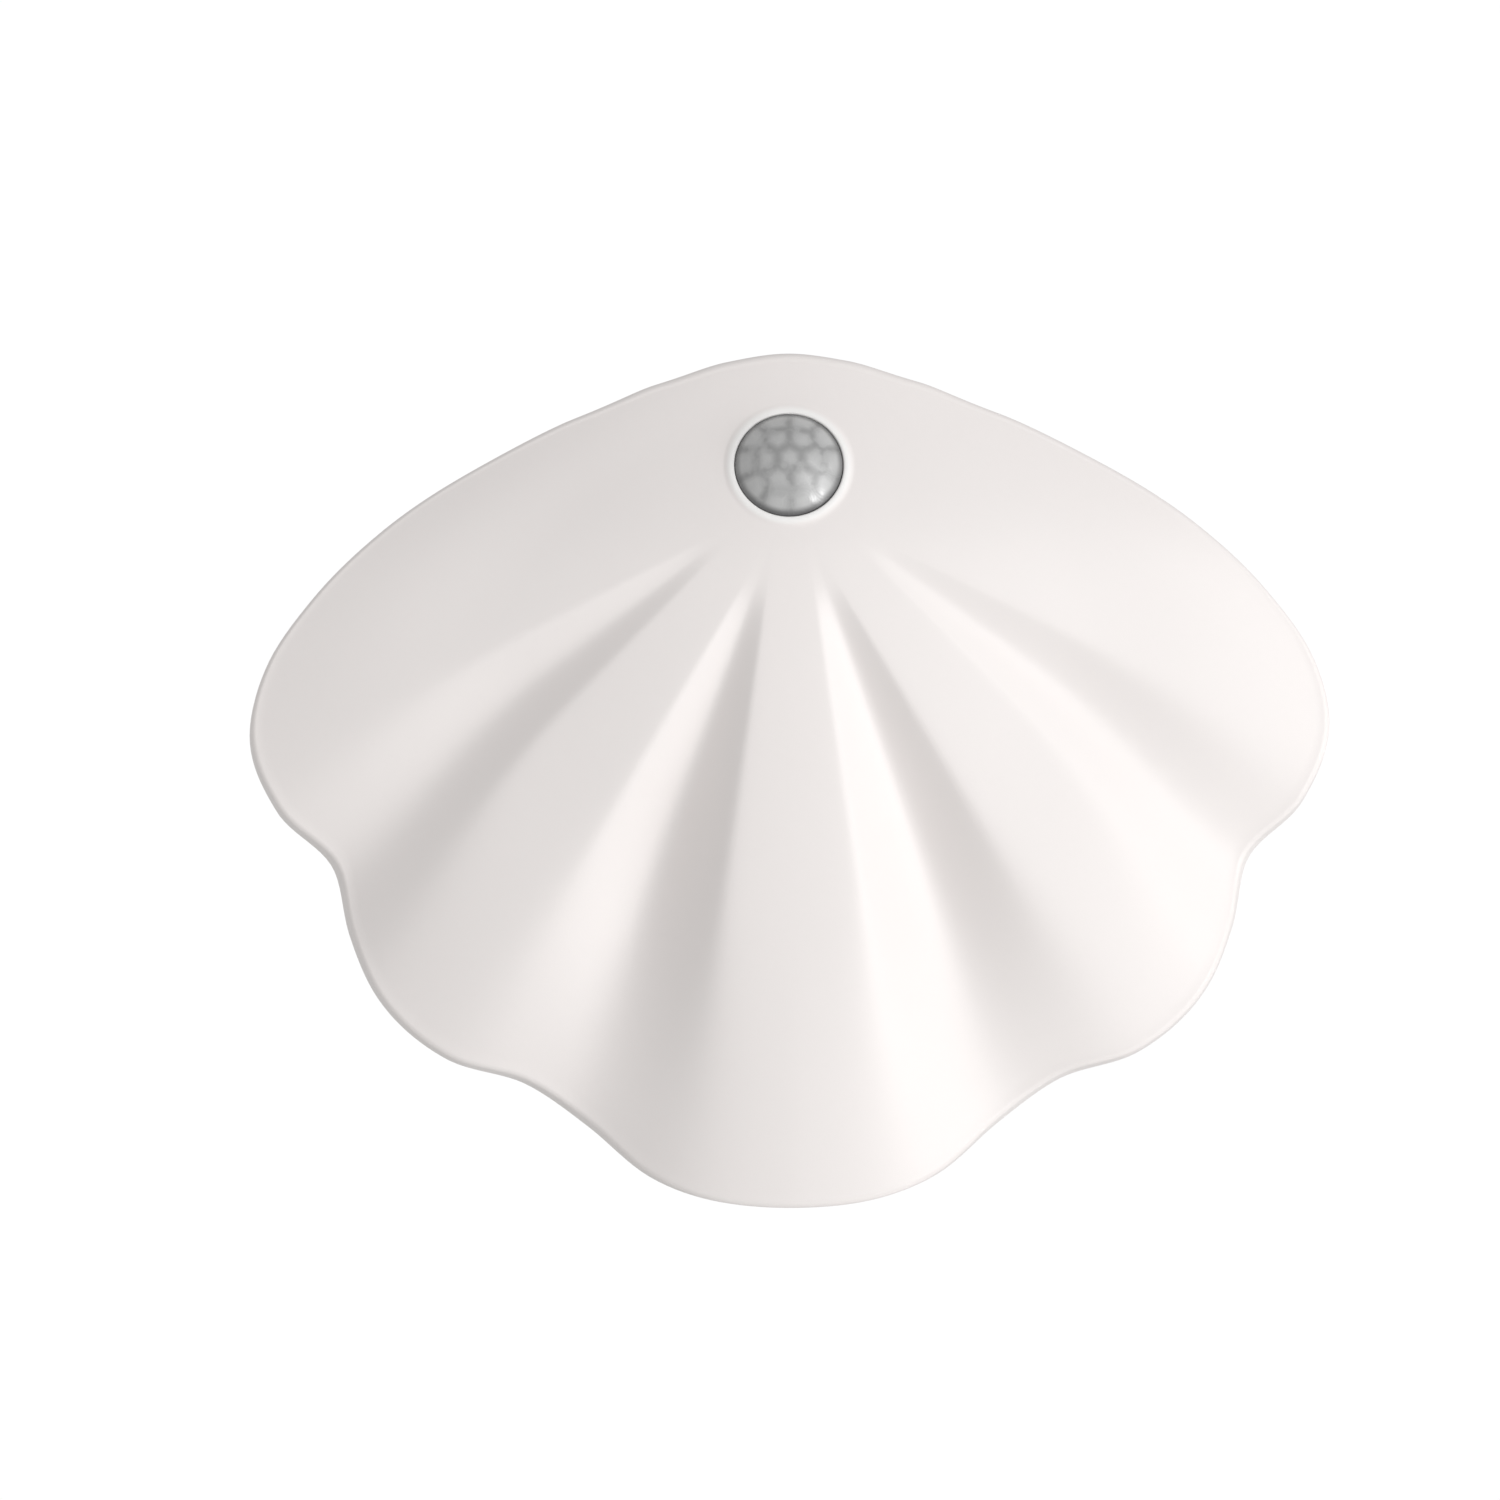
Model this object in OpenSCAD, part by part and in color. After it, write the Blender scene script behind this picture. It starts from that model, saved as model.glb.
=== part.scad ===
// Scallop shade wall light with a motion sensor, magnetic wall plate and battery housing.
// Millimetres. The wall is the plane y = 0, the light stands out towards -Y, +Z is up.
// The origin is the centre of the wall plate's mounting face.

/* [Shade outline] */
// Hub to the tip of the middle lobe
lobe_r = 105.7; // [98:0.1:114]
// Hub to the tip of each lobe beside the middle one
side_lobe_r = 97.8; // [92:0.1:104]
// Hub to the tip of each wing
wing_r = 89.2; // [84:0.1:95]
// Hub to the notch between the middle lobe and its neighbours
inner_notch_r = 95.6; // [88:0.1:97]
// Hub to the notch between the side lobes and the wings
outer_notch_r = 87.4; // [80:0.1:89]
// Hub to the shoulder, 85 degrees round from the middle lobe
shoulder_r = 61; // [57:0.1:65]
// Hub to the brow, 110 degrees round from the middle lobe
brow_r = 33.9; // [32:0.1:37]
// Hub to the crown, straight above it
crown_r = 21.3; // [20:0.1:24]

/* [Shade relief] */
// Slope of the face above its crest, where the lens sits
face_up = 19; // [15:0.5:24]
// Slope of the face from its crest down to the lobes
face_down = 7.5; // [5:0.5:10]
// Height of the crest's bend line above the hub
crest_rise = -8; // [-12:0.5:-6]
// How gently the face bends over its crest
crest_round = 8; // [6:0.5:12]
// Slope of the face towards the wings
wing_slope = 12.5; // [9:0.5:15]
// How gently the face bends over from wing to wing
spine_round = 25; // [15:1:35]
// Extra fall at the tips of the lower lobes
lobe_droop = 3; // [1:0.1:5]
// Depth of the two inner pleats, 60 percent of the way to the rim
inner_pleat = 7.4; // [4:0.1:9]
// Depth of the two outer pleats, 60 percent of the way to the rim
outer_pleat = 3.3; // [1.5:0.1:4]
// Distance from the hub at which the pleats' tips lie
pleat_start = 15.5; // [12:0.5:18]
// Distance from the hub of the point that the pleats fan out from
fan_start = 6; // [4:0.5:8]

/* [Shade wall] */
// Thickness of the moulded shade
shade_wall = 2; // [1.6:0.1:2.6]
// Radius of the roll that joins the face to the skirt
rim_roll = 1.2; // [0.8:0.1:2]
// How far the front rim stands in from the skirt's rear edge
rim_inset = 1; // [0.5:0.1:1.6]
// Gap between the skirt's rear edge and the wall
skirt_gap = 10; // [7:0.5:12]

/* [Sensor] */
// Radius of the domed lens where it shows
lens_r = 7.8; // [7.5:0.05:9]
// Height of the lens dome
lens_dome = 3.4; // [2.5:0.1:4]
// Height of the lens centre above the hub
lens_rise = 3.7; // [3.2:0.1:5]
// Thickness of the lens wall and of its flange
lens_wall = 1; // [0.8:0.1:1.2]
// Length of the cup that carries the sensor board behind the lens
cup_len = 5; // [4.6:0.1:6]

/* [Housing] */
// Width of the rear housing
housing_w = 122; // [114:0.5:128]
// Height of the rear housing, without its neck
housing_h = 62; // [60:0.5:66]
// Thickness of the housing's walls and floor
housing_wall = 2; // [1.8:0.1:2.4]
// Gap between the housing's rear face and the wall
housing_gap = 4; // [3.4:0.1:5]
// Thickness of the rear cover
cover_t = 2; // [1.8:0.1:2.4]
// Width of the neck behind the sensor
neck_w = 34; // [30:0.5:38]
// Height of the hub above the wall plate's centre
hub_rise = 32; // [30:0.5:34]

/* [Wall plate] */
// Distance from each side of the bay to the steel wall plate's end
plate_margin = 6; // [5:0.5:8]
// Height of the steel wall plate
plate_h = 24; // [22:0.5:26]
// Thickness of the steel wall plate
plate_t = 1.5; // [1.2:0.1:2]
// Distance from each end of the plate to its screw hole
plate_hole_in = 7; // [6:0.5:10]
// Diameter of the two screw holes
plate_hole_d = 4.2; // [3.4:0.1:5]
// Thickness of the adhesive pad
pad_t = 1; // [0.8:0.1:1.5]

/* [Battery and lights] */
// Distance from each side of the bay to the battery cell
battery_margin = 10; // [9.5:0.5:12]
// Gap between the battery cell and the main board, for the connector's wires
battery_gap = 3.6; // [3:0.1:6]
// Thickness of the battery cell
battery_t = 6; // [5:0.1:8]
// Diameter of each magnet
magnet_d = 12; // [10:0.5:13]
// Thickness of each magnet
magnet_t = 2.4; // [2:0.1:2.5]
// Number of light packages in each chamber
led_count = 7; // [5:1:8]
// Thickness of the milky diffusers
diffuser_t = 1.6; // [1.2:0.1:1.8]

/* [Main board] */
// Distance from each side of the bay to the main board
board_margin = 9; // [8:0.5:10]
// Height of the main board
board_h = 22; // [21:0.5:23]
// Thickness of every circuit board
board_t = 1.2; // [1:0.1:1.6]
// Distance from the main board's right end to the charging socket's middle
usb_in = 10; // [9.5:0.5:12]
// Distance from the main board's left end to the slide switch's middle
switch_in = 12; // [11:0.5:13]
// Travel of the switch knob to either side
switch_travel = 2; // [1.5:0.1:2.2]

/* [Hidden] */

// Clearances that every fit shares
slip = 0.2;
loose = 0.3;
eps = 0.01;
// How far a cut runs past the face that it opens
over = 1;
// Facets round large and small circles
fine = 96;
small = 48;

// Distances off the wall of the stacked parts, from the wall outwards
plate_front = pad_t + plate_t;
seat_floor = plate_front + 0.1;
plate_sink = 1;
seat_back = seat_floor - plate_sink;
cover_front = housing_gap + cover_t;
tape_t = 0.6;
lead_room = 2.9;
bay_floor = cover_front + lead_room + battery_t + tape_t;
housing_front = bay_floor + housing_wall;

// Housing outline: a stadium with a neck that reaches up behind the sensor
end_r = housing_h / 2;
end_x = housing_w / 2 - end_r;
bay_w = 2 * end_x;
plate_w = bay_w - 2 * plate_margin;
plate_hole_span = plate_w - 2 * plate_hole_in;
hub_z = hub_rise;
lens_z = hub_z + lens_rise;
neck_top = lens_z + lens_r + 2.6;
neck_round = 10;
shade_gap = 0.6;

function mix(a, b, t) = a * (1 - t) + b * t;

// Outline of the shade as angle from straight down and distance from the hub
OUTLINE = [
    [0, lobe_r], [12, mix(lobe_r, inner_notch_r, 0.2475)],
    [18, mix(lobe_r, inner_notch_r, 0.7327)], [24.5, inner_notch_r],
    [32, side_lobe_r], [40, mix(side_lobe_r, outer_notch_r, 0.1538)],
    [45.5, mix(side_lobe_r, outer_notch_r, 0.5385)], [51, outer_notch_r],
    [59, wing_r], [67, mix(wing_r, shoulder_r, 0.0674)],
    [72.5, mix(wing_r, shoulder_r, 0.2766)], [78, mix(wing_r, shoulder_r, 0.5922)],
    [85, shoulder_r], [95, mix(shoulder_r, brow_r, 0.524)], [110, brow_r],
    [130, mix(brow_r, crown_r, 0.6349)], [155, mix(brow_r, crown_r, 0.9365)], [180, crown_r]
];
// Where the pleats start to fade, and where their depth is measured, as shares of the way to the rim
fade_from = 0.49;
ref_share = 0.6;
// Each pleat: angle, drift of that angle at the rim, inner and outer half width, fade at the rim
INNER = [19.8, -0.4, 9.8, 9.6, 0.65];
OUTER = [54.1, -3.6, 7.6, 8.2, 0.4];
// How blunt a pleat's tip is, and how far beyond it the pleat reaches half of its full steepness
tip_round = 0.8;
settle = 5.5;
// The least width of a pleat, under the lens, is that of a fan this long
fan_least = 1;

function clamp01(t) = min(max(t, 0), 1);
function ease(t) = let (c = clamp01(t)) c * c * (3 - 2 * c);

// Slope of a curve through knots, from the knots on either side; flat at both ends
function knot_slope(k, i) =
    i == 0 || i == len(k) - 1 ? 0 :
    let (
        h0 = k[i][0] - k[i - 1][0],
        h1 = k[i + 1][0] - k[i][0],
        d0 = (k[i][1] - k[i - 1][1]) / h0,
        d1 = (k[i + 1][1] - k[i][1]) / h1
    )
    (h1 * d0 + h0 * d1) / (h0 + h1);

// Cubic curve through the knots, read at x
function through(k, x) =
    let (
        i = max([for (j = [0:len(k) - 2]) if (k[j][0] <= x) j]),
        h = k[i + 1][0] - k[i][0],
        t = (x - k[i][0]) / h
    )
    k[i][1] * (1 + 2 * t) * (1 - t) * (1 - t)
    + h * knot_slope(k, i) * t * (1 - t) * (1 - t)
    + k[i + 1][1] * t * t * (3 - 2 * t)
    + h * knot_slope(k, i + 1) * t * t * (t - 1);

function edge_r(a) = through(OUTLINE, a);

// Section of a pleat: 1 on its centre line, 0 outside, rounder towards the rim
function vee(x, s) =
    let (
        b = 0.24 + 0.14 * s,
        v = 1 - (sqrt(x * x + b * b) - b) / (sqrt(1 + b * b) - b),
        c = 0.11 + 0.45 * s
    )
    (v + sqrt(v * v + c * c) - c) / 2;

// Share of a pleat's full steepness at r from the hub: near 0 before the tip, then rising to 1
function steepness(r) =
    let (run = ((r - pleat_start) + norm([r - pleat_start, 2 * tip_round])) / 2)
    run / (run + settle);

// Depth of one pleat at angle a, distance r and share u of the way to the rim
function pleat(p, depth, a, r, u) =
    let (
        s = ease((u - fade_from) / (1 - fade_from)),
        off = a - (p[0] + p[1] * s),
        ref = ref_share * edge_r(p[0]),
        w = max(r - fan_start, fan_least) / (ref - fan_start),
        x = off / (off < 0 ? p[2] : p[3]) * r / (ref * w)
    )
    depth * w * steepness(r) / steepness(ref) * (1 - p[4] * s) * vee(x, s);

// Two straight slopes joined by a bend: 0 at t = 0, rounder with a larger c
function bend(t, c) = sqrt(t * t + c * c) - c;

// Fall of the face along its spine, measured from its foremost point
slope_mean = (tan(face_up) + tan(face_down)) / 2;
slope_skew = (tan(face_up) - tan(face_down)) / 2;
spine_base = crest_round * (slope_mean - sqrt(tan(face_up) * tan(face_down)));
function spine(z) =
    let (t = z - crest_rise) slope_mean * bend(t, crest_round) + slope_skew * t + spine_base;

// The plane of the lens lies along the face at the lens centre, a little behind it
lens_sink = 0.2;
lens_fall = spine(lens_rise) + lens_sink;
lens_slope = slope_mean * (lens_rise - crest_rise) / norm([lens_rise - crest_rise, crest_round])
    + slope_skew;
lens_tilt = atan(lens_slope);
collar_r = lens_r + 1.55;
collar_depth = 2.2;

// How far the face lies behind its foremost point at x and z, both measured from the hub
function relief(x, z) =
    let (
        a = atan2(abs(x), -z),
        r = norm([x, z]),
        u = min(r / edge_r(a), 1)
    )
    spine(z) + tan(wing_slope) * bend(x, spine_round) + lobe_droop * pow(u, 3) * (1 + cos(a)) / 2
        + pleat(INNER, inner_pleat, a, r, u) + pleat(OUTER, outer_pleat, a, r, u);

// The shade stands out just far enough to clear the housing and the sensor cup behind it
cup_r = collar_r + 0.5;
flange_back = collar_depth + lens_wall;
cup_back = flange_back + cup_len;
board_back = cup_back + board_t;
over_housing = max([
    for (x = [0:4:housing_w / 2])
    for (z = [-end_r:end_r / 6:end_r])
    if (norm([max(x - end_x, 0), z]) <= end_r)
    relief(x, z - hub_z)
]);
over_cup = lens_fall + board_back * cos(lens_tilt) + cup_r * sin(lens_tilt) - shade_wall;
shade_out = housing_front + shade_gap + shade_wall + max(over_housing, over_cup);

// Distance off the wall of the shade's face at x and z from the wall plate's centre
function face_out(x, z) = shade_out - relief(x, z - hub_z);

// Angles round the hub, close together over the pleats and wider over the crown
HALF_TURN = concat([for (a = [0:2:70]) a], [for (a = [74:4:110]) a], [for (a = [115:5:180]) a]);
TURN = concat([for (i = [len(HALF_TURN) - 2:-1:1]) -HALF_TURN[i]], HALF_TURN);
// Shares of the way from the lens hole to the rim
STEPS = [0, 0.05, 0.1, 0.16, 0.23, 0.31, 0.39, 0.47, 0.55, 0.63, 0.71, 0.79, 0.86, 0.93, 1];
rolls = 3;

// Radius about the hub at which direction a meets the lens hole in the face
hole_r = collar_r - 0.9;
function hole_at(a) =
    let (
        k = cos(lens_tilt),
        c = -cos(a),
        m = pow(sin(a), 2) + pow(c / k, 2),
        n = -c * lens_rise / (k * k),
        q = pow(lens_rise / k, 2) - hole_r * hole_r
    )
    (-n + sqrt(n * n - m * q)) / m;

// One point of the shade: direction a, distance r, distance off the wall
function shade_point(a, r, out) = [r * sin(a), -out, hub_z - r * cos(a)];
function face_point(a, r, back) =
    shade_point(a, r, shade_out - relief(r * sin(a), -r * cos(a)) - back);

// Closed section of the shade in direction a: face, roll, skirt, then back up the inside
function shade_section(a) =
    let (
        e = edge_r(abs(a)),
        rim = e - rim_inset,
        top = rim - rim_roll,
        start = hole_at(a),
        rim_out = shade_out - relief(top * sin(a), -top * cos(a)),
        inner = rim - shade_wall
    )
    concat(
        [for (s = STEPS) face_point(a, mix(start, top, s), 0)],
        [for (i = [1:rolls]) shade_point(a, top + rim_roll * sin(90 * i / rolls),
            rim_out - rim_roll * (1 - cos(90 * i / rolls)))],
        [shade_point(a, e, skirt_gap), shade_point(a, e - shade_wall, skirt_gap)],
        [for (i = [len(STEPS) - 1:-1:0]) face_point(a, mix(start, inner, STEPS[i]), shade_wall)]
    );

// Closed surface through sections that each lie in one direction round the hub
module loft_round(sections) {
    n = len(sections);
    m = len(sections[0]);
    faces = [
        for (i = [0:n - 1])
        for (j = [0:m - 1])
        let (
            a = i * m + j,
            b = i * m + (j + 1) % m,
            c = ((i + 1) % n) * m + (j + 1) % m,
            d = ((i + 1) % n) * m + j
        )
        each (i < n / 2 ? [[a, d, b], [b, d, c]] : [[a, c, b], [a, d, c]])
    ];
    polyhedron([for (s = sections) each s], faces, convexity = 6);
}

// A flat shape in x and z, standing off the wall by rear and thick deep
module slab(rear, thick) {
    translate([0, -rear, 0]) rotate([90, 0, 0]) linear_extrude(thick) children();
}

// A post square to the wall at x and z
module post(x, z, rear, thick, r) {
    translate([x, -rear, z]) rotate([90, 0, 0]) cylinder(h = thick, r = r, $fn = small);
}

// The lens axis as local +Z, with the plane of the lens as local z = 0
module at_lens() {
    translate([0, -(shade_out - lens_fall), lens_z]) rotate([90 - lens_tilt, 0, 0]) children();
}

// Rectangle with round corners, centred
module rounded(w, h, r) {
    square([w - 2 * r, h], center = true);
    square([w, h - 2 * r], center = true);
    for (x = [-1, 1])
        for (y = [-1, 1])
            translate([x * (w / 2 - r), y * (h / 2 - r)]) circle(r, $fn = small);
}

module stadium(inset) {
    square([2 * end_x, housing_h - 2 * inset], center = true);
    for (x = [-1, 1])
        translate([x * end_x, 0]) circle(end_r - inset, $fn = fine);
}

module neck(inset) {
    h = neck_top - inset;
    translate([0, h / 2]) rounded(neck_w - 2 * inset, h, neck_round - inset);
}

// The bay between the light chambers, with the neck
module bay(inset) {
    square([bay_w - 2 * inset, housing_h - 2 * housing_wall - 2 * inset], center = true);
    neck(housing_wall + inset);
}

// The light chamber on one side, behind the partition
chamber_x = bay_w / 2 + housing_wall;
module chamber(side, inset, from) {
    intersection() {
        stadium(inset);
        translate([side * (from + housing_w / 2), 0]) square([housing_w, housing_h], center = true);
    }
}

// A pan-head screw along local +Z, head underside at z = 0, shank towards -Z
module pan_screw(head_r, head_t, shank_r, len) {
    rotate_extrude($fn = small)
        polygon([
            [0, -len], [shank_r * 0.4, -len], [shank_r, -len + shank_r], [shank_r, 0],
            [head_r, 0], [head_r, head_t * 0.5], [head_r * 0.8, head_t * 0.9], [head_r * 0.5, head_t],
            [0, head_t]
        ]);
}

// A wire of radius r through points, as one tube with a flat end at each end
wire_sides = 8;
module wire(points, r) {
    n = len(points);
    dirs = [for (i = [0:n - 1]) points[min(i + 1, n - 1)] - points[max(i - 1, 0)]];
    rings = [
        for (i = [0:n - 1])
        let (
            t = dirs[i] / norm(dirs[i]),
            h = abs(t[1]) < 0.9 ? [0, 1, 0] : [1, 0, 0],
            u = cross(t, h) / norm(cross(t, h)),
            v = cross(t, u)
        )
        each [for (k = [0:wire_sides - 1]) points[i] + r * (cos(360 * k / wire_sides) * u
            + sin(360 * k / wire_sides) * v)]
    ];
    sides = [
        for (i = [0:n - 2])
        for (k = [0:wire_sides - 1])
        let (
            a = i * wire_sides + k,
            b = i * wire_sides + (k + 1) % wire_sides,
            c = a + wire_sides,
            d = b + wire_sides
        )
        each [[a, d, b], [a, c, d]]
    ];
    ends = [
        [for (k = [0:wire_sides - 1]) k],
        [for (k = [wire_sides - 1:-1:0]) (n - 1) * wire_sides + k]
    ];
    polyhedron(rings, concat(sides, ends), convexity = 4);
}

// Smooth path through route points, with steps between each two
function route(p, steps) =
    concat([
        for (i = [0:len(p) - 2])
        for (k = [0:steps - 1])
        let (
            t = k / steps,
            a = p[max(i - 1, 0)],
            b = p[i],
            c = p[i + 1],
            d = p[min(i + 2, len(p) - 1)]
        )
        b * (1 + 2 * t) * (1 - t) * (1 - t) + (c - a) / 2 * t * (1 - t) * (1 - t)
            + c * t * t * (3 - 2 * t) + (d - b) / 2 * t * t * (t - 1)
    ], [p[len(p) - 1]]);

// Screws of the housing: shank, pilot hole, head and the boss that takes them
pilot_play = 0.05;
screw_r = 1.2;
pilot_r = screw_r + pilot_play;
head_r = 2.5;
head_t = 1.6;
sunk_head_t = 0.9;
boss_r = 3;
cover_screw_len = 8;
shell_screw_len = 7.5;

// Screws of the boards and of the sensor cup
tiny_r = 0.9;
tiny_pilot_r = tiny_r + pilot_play;
tiny_head_r = 1.9;
tiny_head_t = 1.2;
board_screw_len = 3;
ear_screw_len = 4;

// Ears that join the sensor cup to the shade
ear_x = cup_r + 3.3;
ear_top = flange_back + 1.8;
ear_t = 1.6;
ear_r = 2.8;

// The main board stands on posts with its parts towards the wall
board_w = bay_w - 2 * board_margin;
board_bottom = -housing_h / 2 + housing_wall + 0.4;
board_top = board_bottom + board_h;
board_out = bay_floor - 2;
board_rear = board_out - board_t;
board_hole_in = 3;
board_screw_rise = 8;
BOARD_SCREWS = [for (x = [-1, 1]) [x * (board_w / 2 - board_hole_in), board_bottom + board_screw_rise]];
BOARD_POSTS = [for (x = [-1, 1]) [x * (board_w / 2 - board_hole_in), board_top - 2.5]];

// The battery fills the upper part of the bay
battery_w = bay_w - 2 * battery_margin;
battery_top = housing_h / 2 - housing_wall - 2;
battery_bottom = board_top + battery_gap;
battery_h = battery_top - battery_bottom;
battery_seal = 3;

// Charging socket, switch and charge light at the bottom wall
usb_x = board_w / 2 - usb_in;
usb_w = 8.94;
usb_t = 3.26;
usb_len = 7.35;
usb_wall = 0.3;
usb_round = 1.3;
usb_out = board_rear - usb_t / 2;
usb_mouth = -housing_h / 2 + 0.6;
switch_x = switch_in - board_w / 2;
switch_w = 8.6;
switch_t = 3.6;
switch_h = 4;
switch_out = board_rear - switch_t / 2;
stem_w = 1.8;
stem_t = 1.4;
cap_w = 4.4;
cap_t = 2.6;
cap_h = 1.6;
stem_in = 1.4;
pipe_x = 1.4;
pipe_r = 1;
pipe_out = board_rear - pipe_r;

// The light boards are arcs round the ends of the housing
led_r = end_r - 8.5;
led_half = 3.5;
led_board_t = 1;
led_board_out = bay_floor - 1;
led_board_rear = led_board_out - led_board_t;
led_cut = 4;
led_sweep = 66;
LED_ANGLES = [for (i = [0:led_count - 1]) led_sweep * (2 * i / (led_count - 1) - 1)];
led_w = 2.8;
led_h = 3.5;
led_t = 0.8;
led_lip = 0.4;

// Places of the fasteners
shell_screw_room = 0.38;
shell_screw_ring = led_r - led_half - boss_r - shell_screw_room;
shell_screw_turn = 50.2;
SHELL_SCREWS = [
    for (x = [-1, 1])
    for (z = [-1, 1])
    [x * (end_x + shell_screw_ring * cos(shell_screw_turn)), z * shell_screw_ring * sin(shell_screw_turn)]
];
cover_screw_in = boss_r + 0.5;
cover_screw_x = bay_w / 2 - cover_screw_in;
cover_screw_z = housing_h / 2 - housing_wall - cover_screw_in;
COVER_SCREWS = [for (x = [-1, 1]) for (z = [-1, 1]) [x * cover_screw_x, z * cover_screw_z]];

// Wires and the holes that they pass through
wire_r = 0.45;
lead_z = board_bottom + 0.64 * board_h;
lead_out = led_board_rear - 2 * wire_r;
lead_hole_z = neck_top - neck_round - 4;
lead_hole_w = 7;
lead_hole_h = 6;
lead_slot_t = 2.4;
lead_slot_h = 4.4;

module adhesive_pad() {
    color("lightgray")
    slab(0, pad_t) difference() {
        rounded(plate_w - 2, plate_h - 2, plate_round - 1);
        for (x = [-1, 1])
            translate([x * plate_hole_span / 2, 0]) circle(plate_hole_d / 2 + 1.4, $fn = small);
    }
}

module wall_plate() {
    color("silver")
    difference() {
        slab(pad_t, plate_t) rounded(plate_w, plate_h, plate_round);
        for (x = [-1, 1])
            post(x * plate_hole_span / 2, 0, pad_t - over, plate_t + 2 * over, plate_hole_d / 2);
    }
}

// How far off the wall a round post at x and z may reach and still end inside the shade's wall
function boss_top(x, z) =
    min([for (a = [0:30:330]) face_out(x + boss_r * cos(a), z + boss_r * sin(a))]) - shade_wall * 0.4;

// Moulded shade with the lens collar, the cup's ear posts and the four screw posts
module shell_cover() {
    lip_rise = 0.25;
    lip_drop = 0.8;
    lip_w = 0.5;
    ear_post_r = ear_r - 0.4;
    color("whitesmoke")
    difference() {
        union() {
            loft_round([for (a = TURN) shade_section(a)]);
            at_lens()
                translate([0, 0, -collar_depth])
                    cylinder(h = collar_depth - lip_drop, r = collar_r, $fn = fine);
            at_lens()
                translate([0, 0, -lip_drop])
                    cylinder(h = lip_drop + lip_rise, r1 = collar_r, r2 = lens_r + slip + lip_w,
                        $fn = fine);
            at_lens()
                for (x = [-1, 1])
                    translate([x * ear_x, 0, -ear_top])
                        cylinder(h = ear_top - shade_wall / 2, r = ear_post_r, $fn = small);
            for (p = SHELL_SCREWS)
                post(p[0], p[1], housing_front, boss_top(p[0], p[1]) - housing_front, boss_r);
        }
        at_lens()
            translate([0, 0, -collar_depth - over])
                cylinder(h = collar_depth + 2 * over, r = lens_r + slip, $fn = fine);
        at_lens()
            translate([0, 0, -flange_back - over])
                cylinder(h = lens_wall + over, r = collar_r + slip, $fn = fine);
        at_lens()
            for (x = [-1, 1])
                translate([x * ear_x, 0, -ear_top - over])
                    cylinder(h = ear_screw_len - ear_t + over + slip, r = tiny_pilot_r, $fn = small);
        for (p = SHELL_SCREWS)
            post(p[0], p[1], housing_front - over, shell_screw_len - housing_wall + over + slip, pilot_r);
    }
}

// Domed lens with a flange behind the shade's collar
module pir_lens() {
    ball = (lens_r * lens_r + lens_dome * lens_dome) / (2 * lens_dome);
    half = asin(lens_r / ball);
    in_r = lens_r - lens_wall;
    in_ball = ball - lens_wall;
    in_half = asin(in_r / in_ball);
    arcs = 16;
    color("darkgray")
    at_lens()
    rotate_extrude($fn = fine)
        polygon(concat(
            [[in_r, -flange_back], [collar_r, -flange_back], [collar_r, -collar_depth],
                [lens_r, -collar_depth]],
            [for (i = [0:arcs]) let (a = half * (1 - i / arcs))
                [ball * sin(a), lens_dome - ball + ball * cos(a)]],
            [for (i = [0:arcs]) let (a = in_half * i / arcs)
                [in_ball * sin(a), lens_dome - ball + in_ball * cos(a)]]
        ));
}

// Cup that presses the lens flange to the collar and carries the sensor board
module lens_retainer() {
    ear_back = ear_top + ear_t;
    cup_wall = 1.6;
    color("white")
    at_lens()
    difference() {
        union() {
            translate([0, 0, -cup_back]) cylinder(h = cup_len, r = cup_r, $fn = fine);
            for (x = [-1, 1])
                translate([x * ear_x, 0, -ear_back]) cylinder(h = ear_t, r = ear_r, $fn = small);
            translate([-ear_x, -ear_r, -ear_back]) cube([2 * ear_x, 2 * ear_r, ear_t]);
        }
        translate([0, 0, -cup_back - over])
            cylinder(h = cup_len + 2 * over, r = cup_r - cup_wall, $fn = fine);
        for (x = [-1, 1])
            translate([x * ear_x, 0, -ear_back - over])
                cylinder(h = ear_t + 2 * over, r = tiny_r + loose, $fn = small);
    }
}

module retainer_screws() {
    color("gray")
    at_lens()
    for (x = [-1, 1])
        translate([x * ear_x, 0, -ear_top - ear_t])
            mirror([0, 0, 1]) pan_screw(tiny_head_r, tiny_head_t, tiny_r, ear_screw_len);
}

// The sensor can's three pins pass through the round board behind the cup
PIN_ANGLES = [90, 210, 330];
pin_ring_r = 2.54;
pin_r = 0.25;
module pir_board() {
    color("darkgreen")
    at_lens()
    difference() {
        translate([0, 0, -board_back]) cylinder(h = board_t, r = cup_r, $fn = fine);
        for (a = PIN_ANGLES)
            rotate(a) translate([pin_ring_r, 0, -board_back - over])
                cylinder(h = board_t + 2 * over, r = pin_r + slip, $fn = small);
    }
}

can_r = 4.1;
can_h = 3.8;
window_w = 4.2;
window_h = 3.2;
window_sink = 0.4;
window_z = -cup_back + can_h - window_sink;
module pir_sensor() {
    brim = 0.5;
    brim_t = 0.6;
    color("silver")
    at_lens()
    difference() {
        union() {
            translate([0, 0, -cup_back]) cylinder(h = brim_t, r = can_r + brim, $fn = small);
            translate([0, 0, -cup_back]) cylinder(h = can_h, r = can_r, $fn = small);
            for (a = PIN_ANGLES)
                rotate(a) translate([pin_ring_r, 0, -board_back - over])
                    cylinder(h = board_t + over + brim_t, r = pin_r, $fn = small / 2);
        }
        translate([-window_w / 2, -window_h / 2, window_z]) cube([window_w, window_h, over]);
    }
}

module pir_window() {
    play = 0.05;
    color("dimgray")
    at_lens()
    translate([play - window_w / 2, play - window_h / 2, window_z])
        cube([window_w - 2 * play, window_h - 2 * play, window_sink - play]);
}

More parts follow.
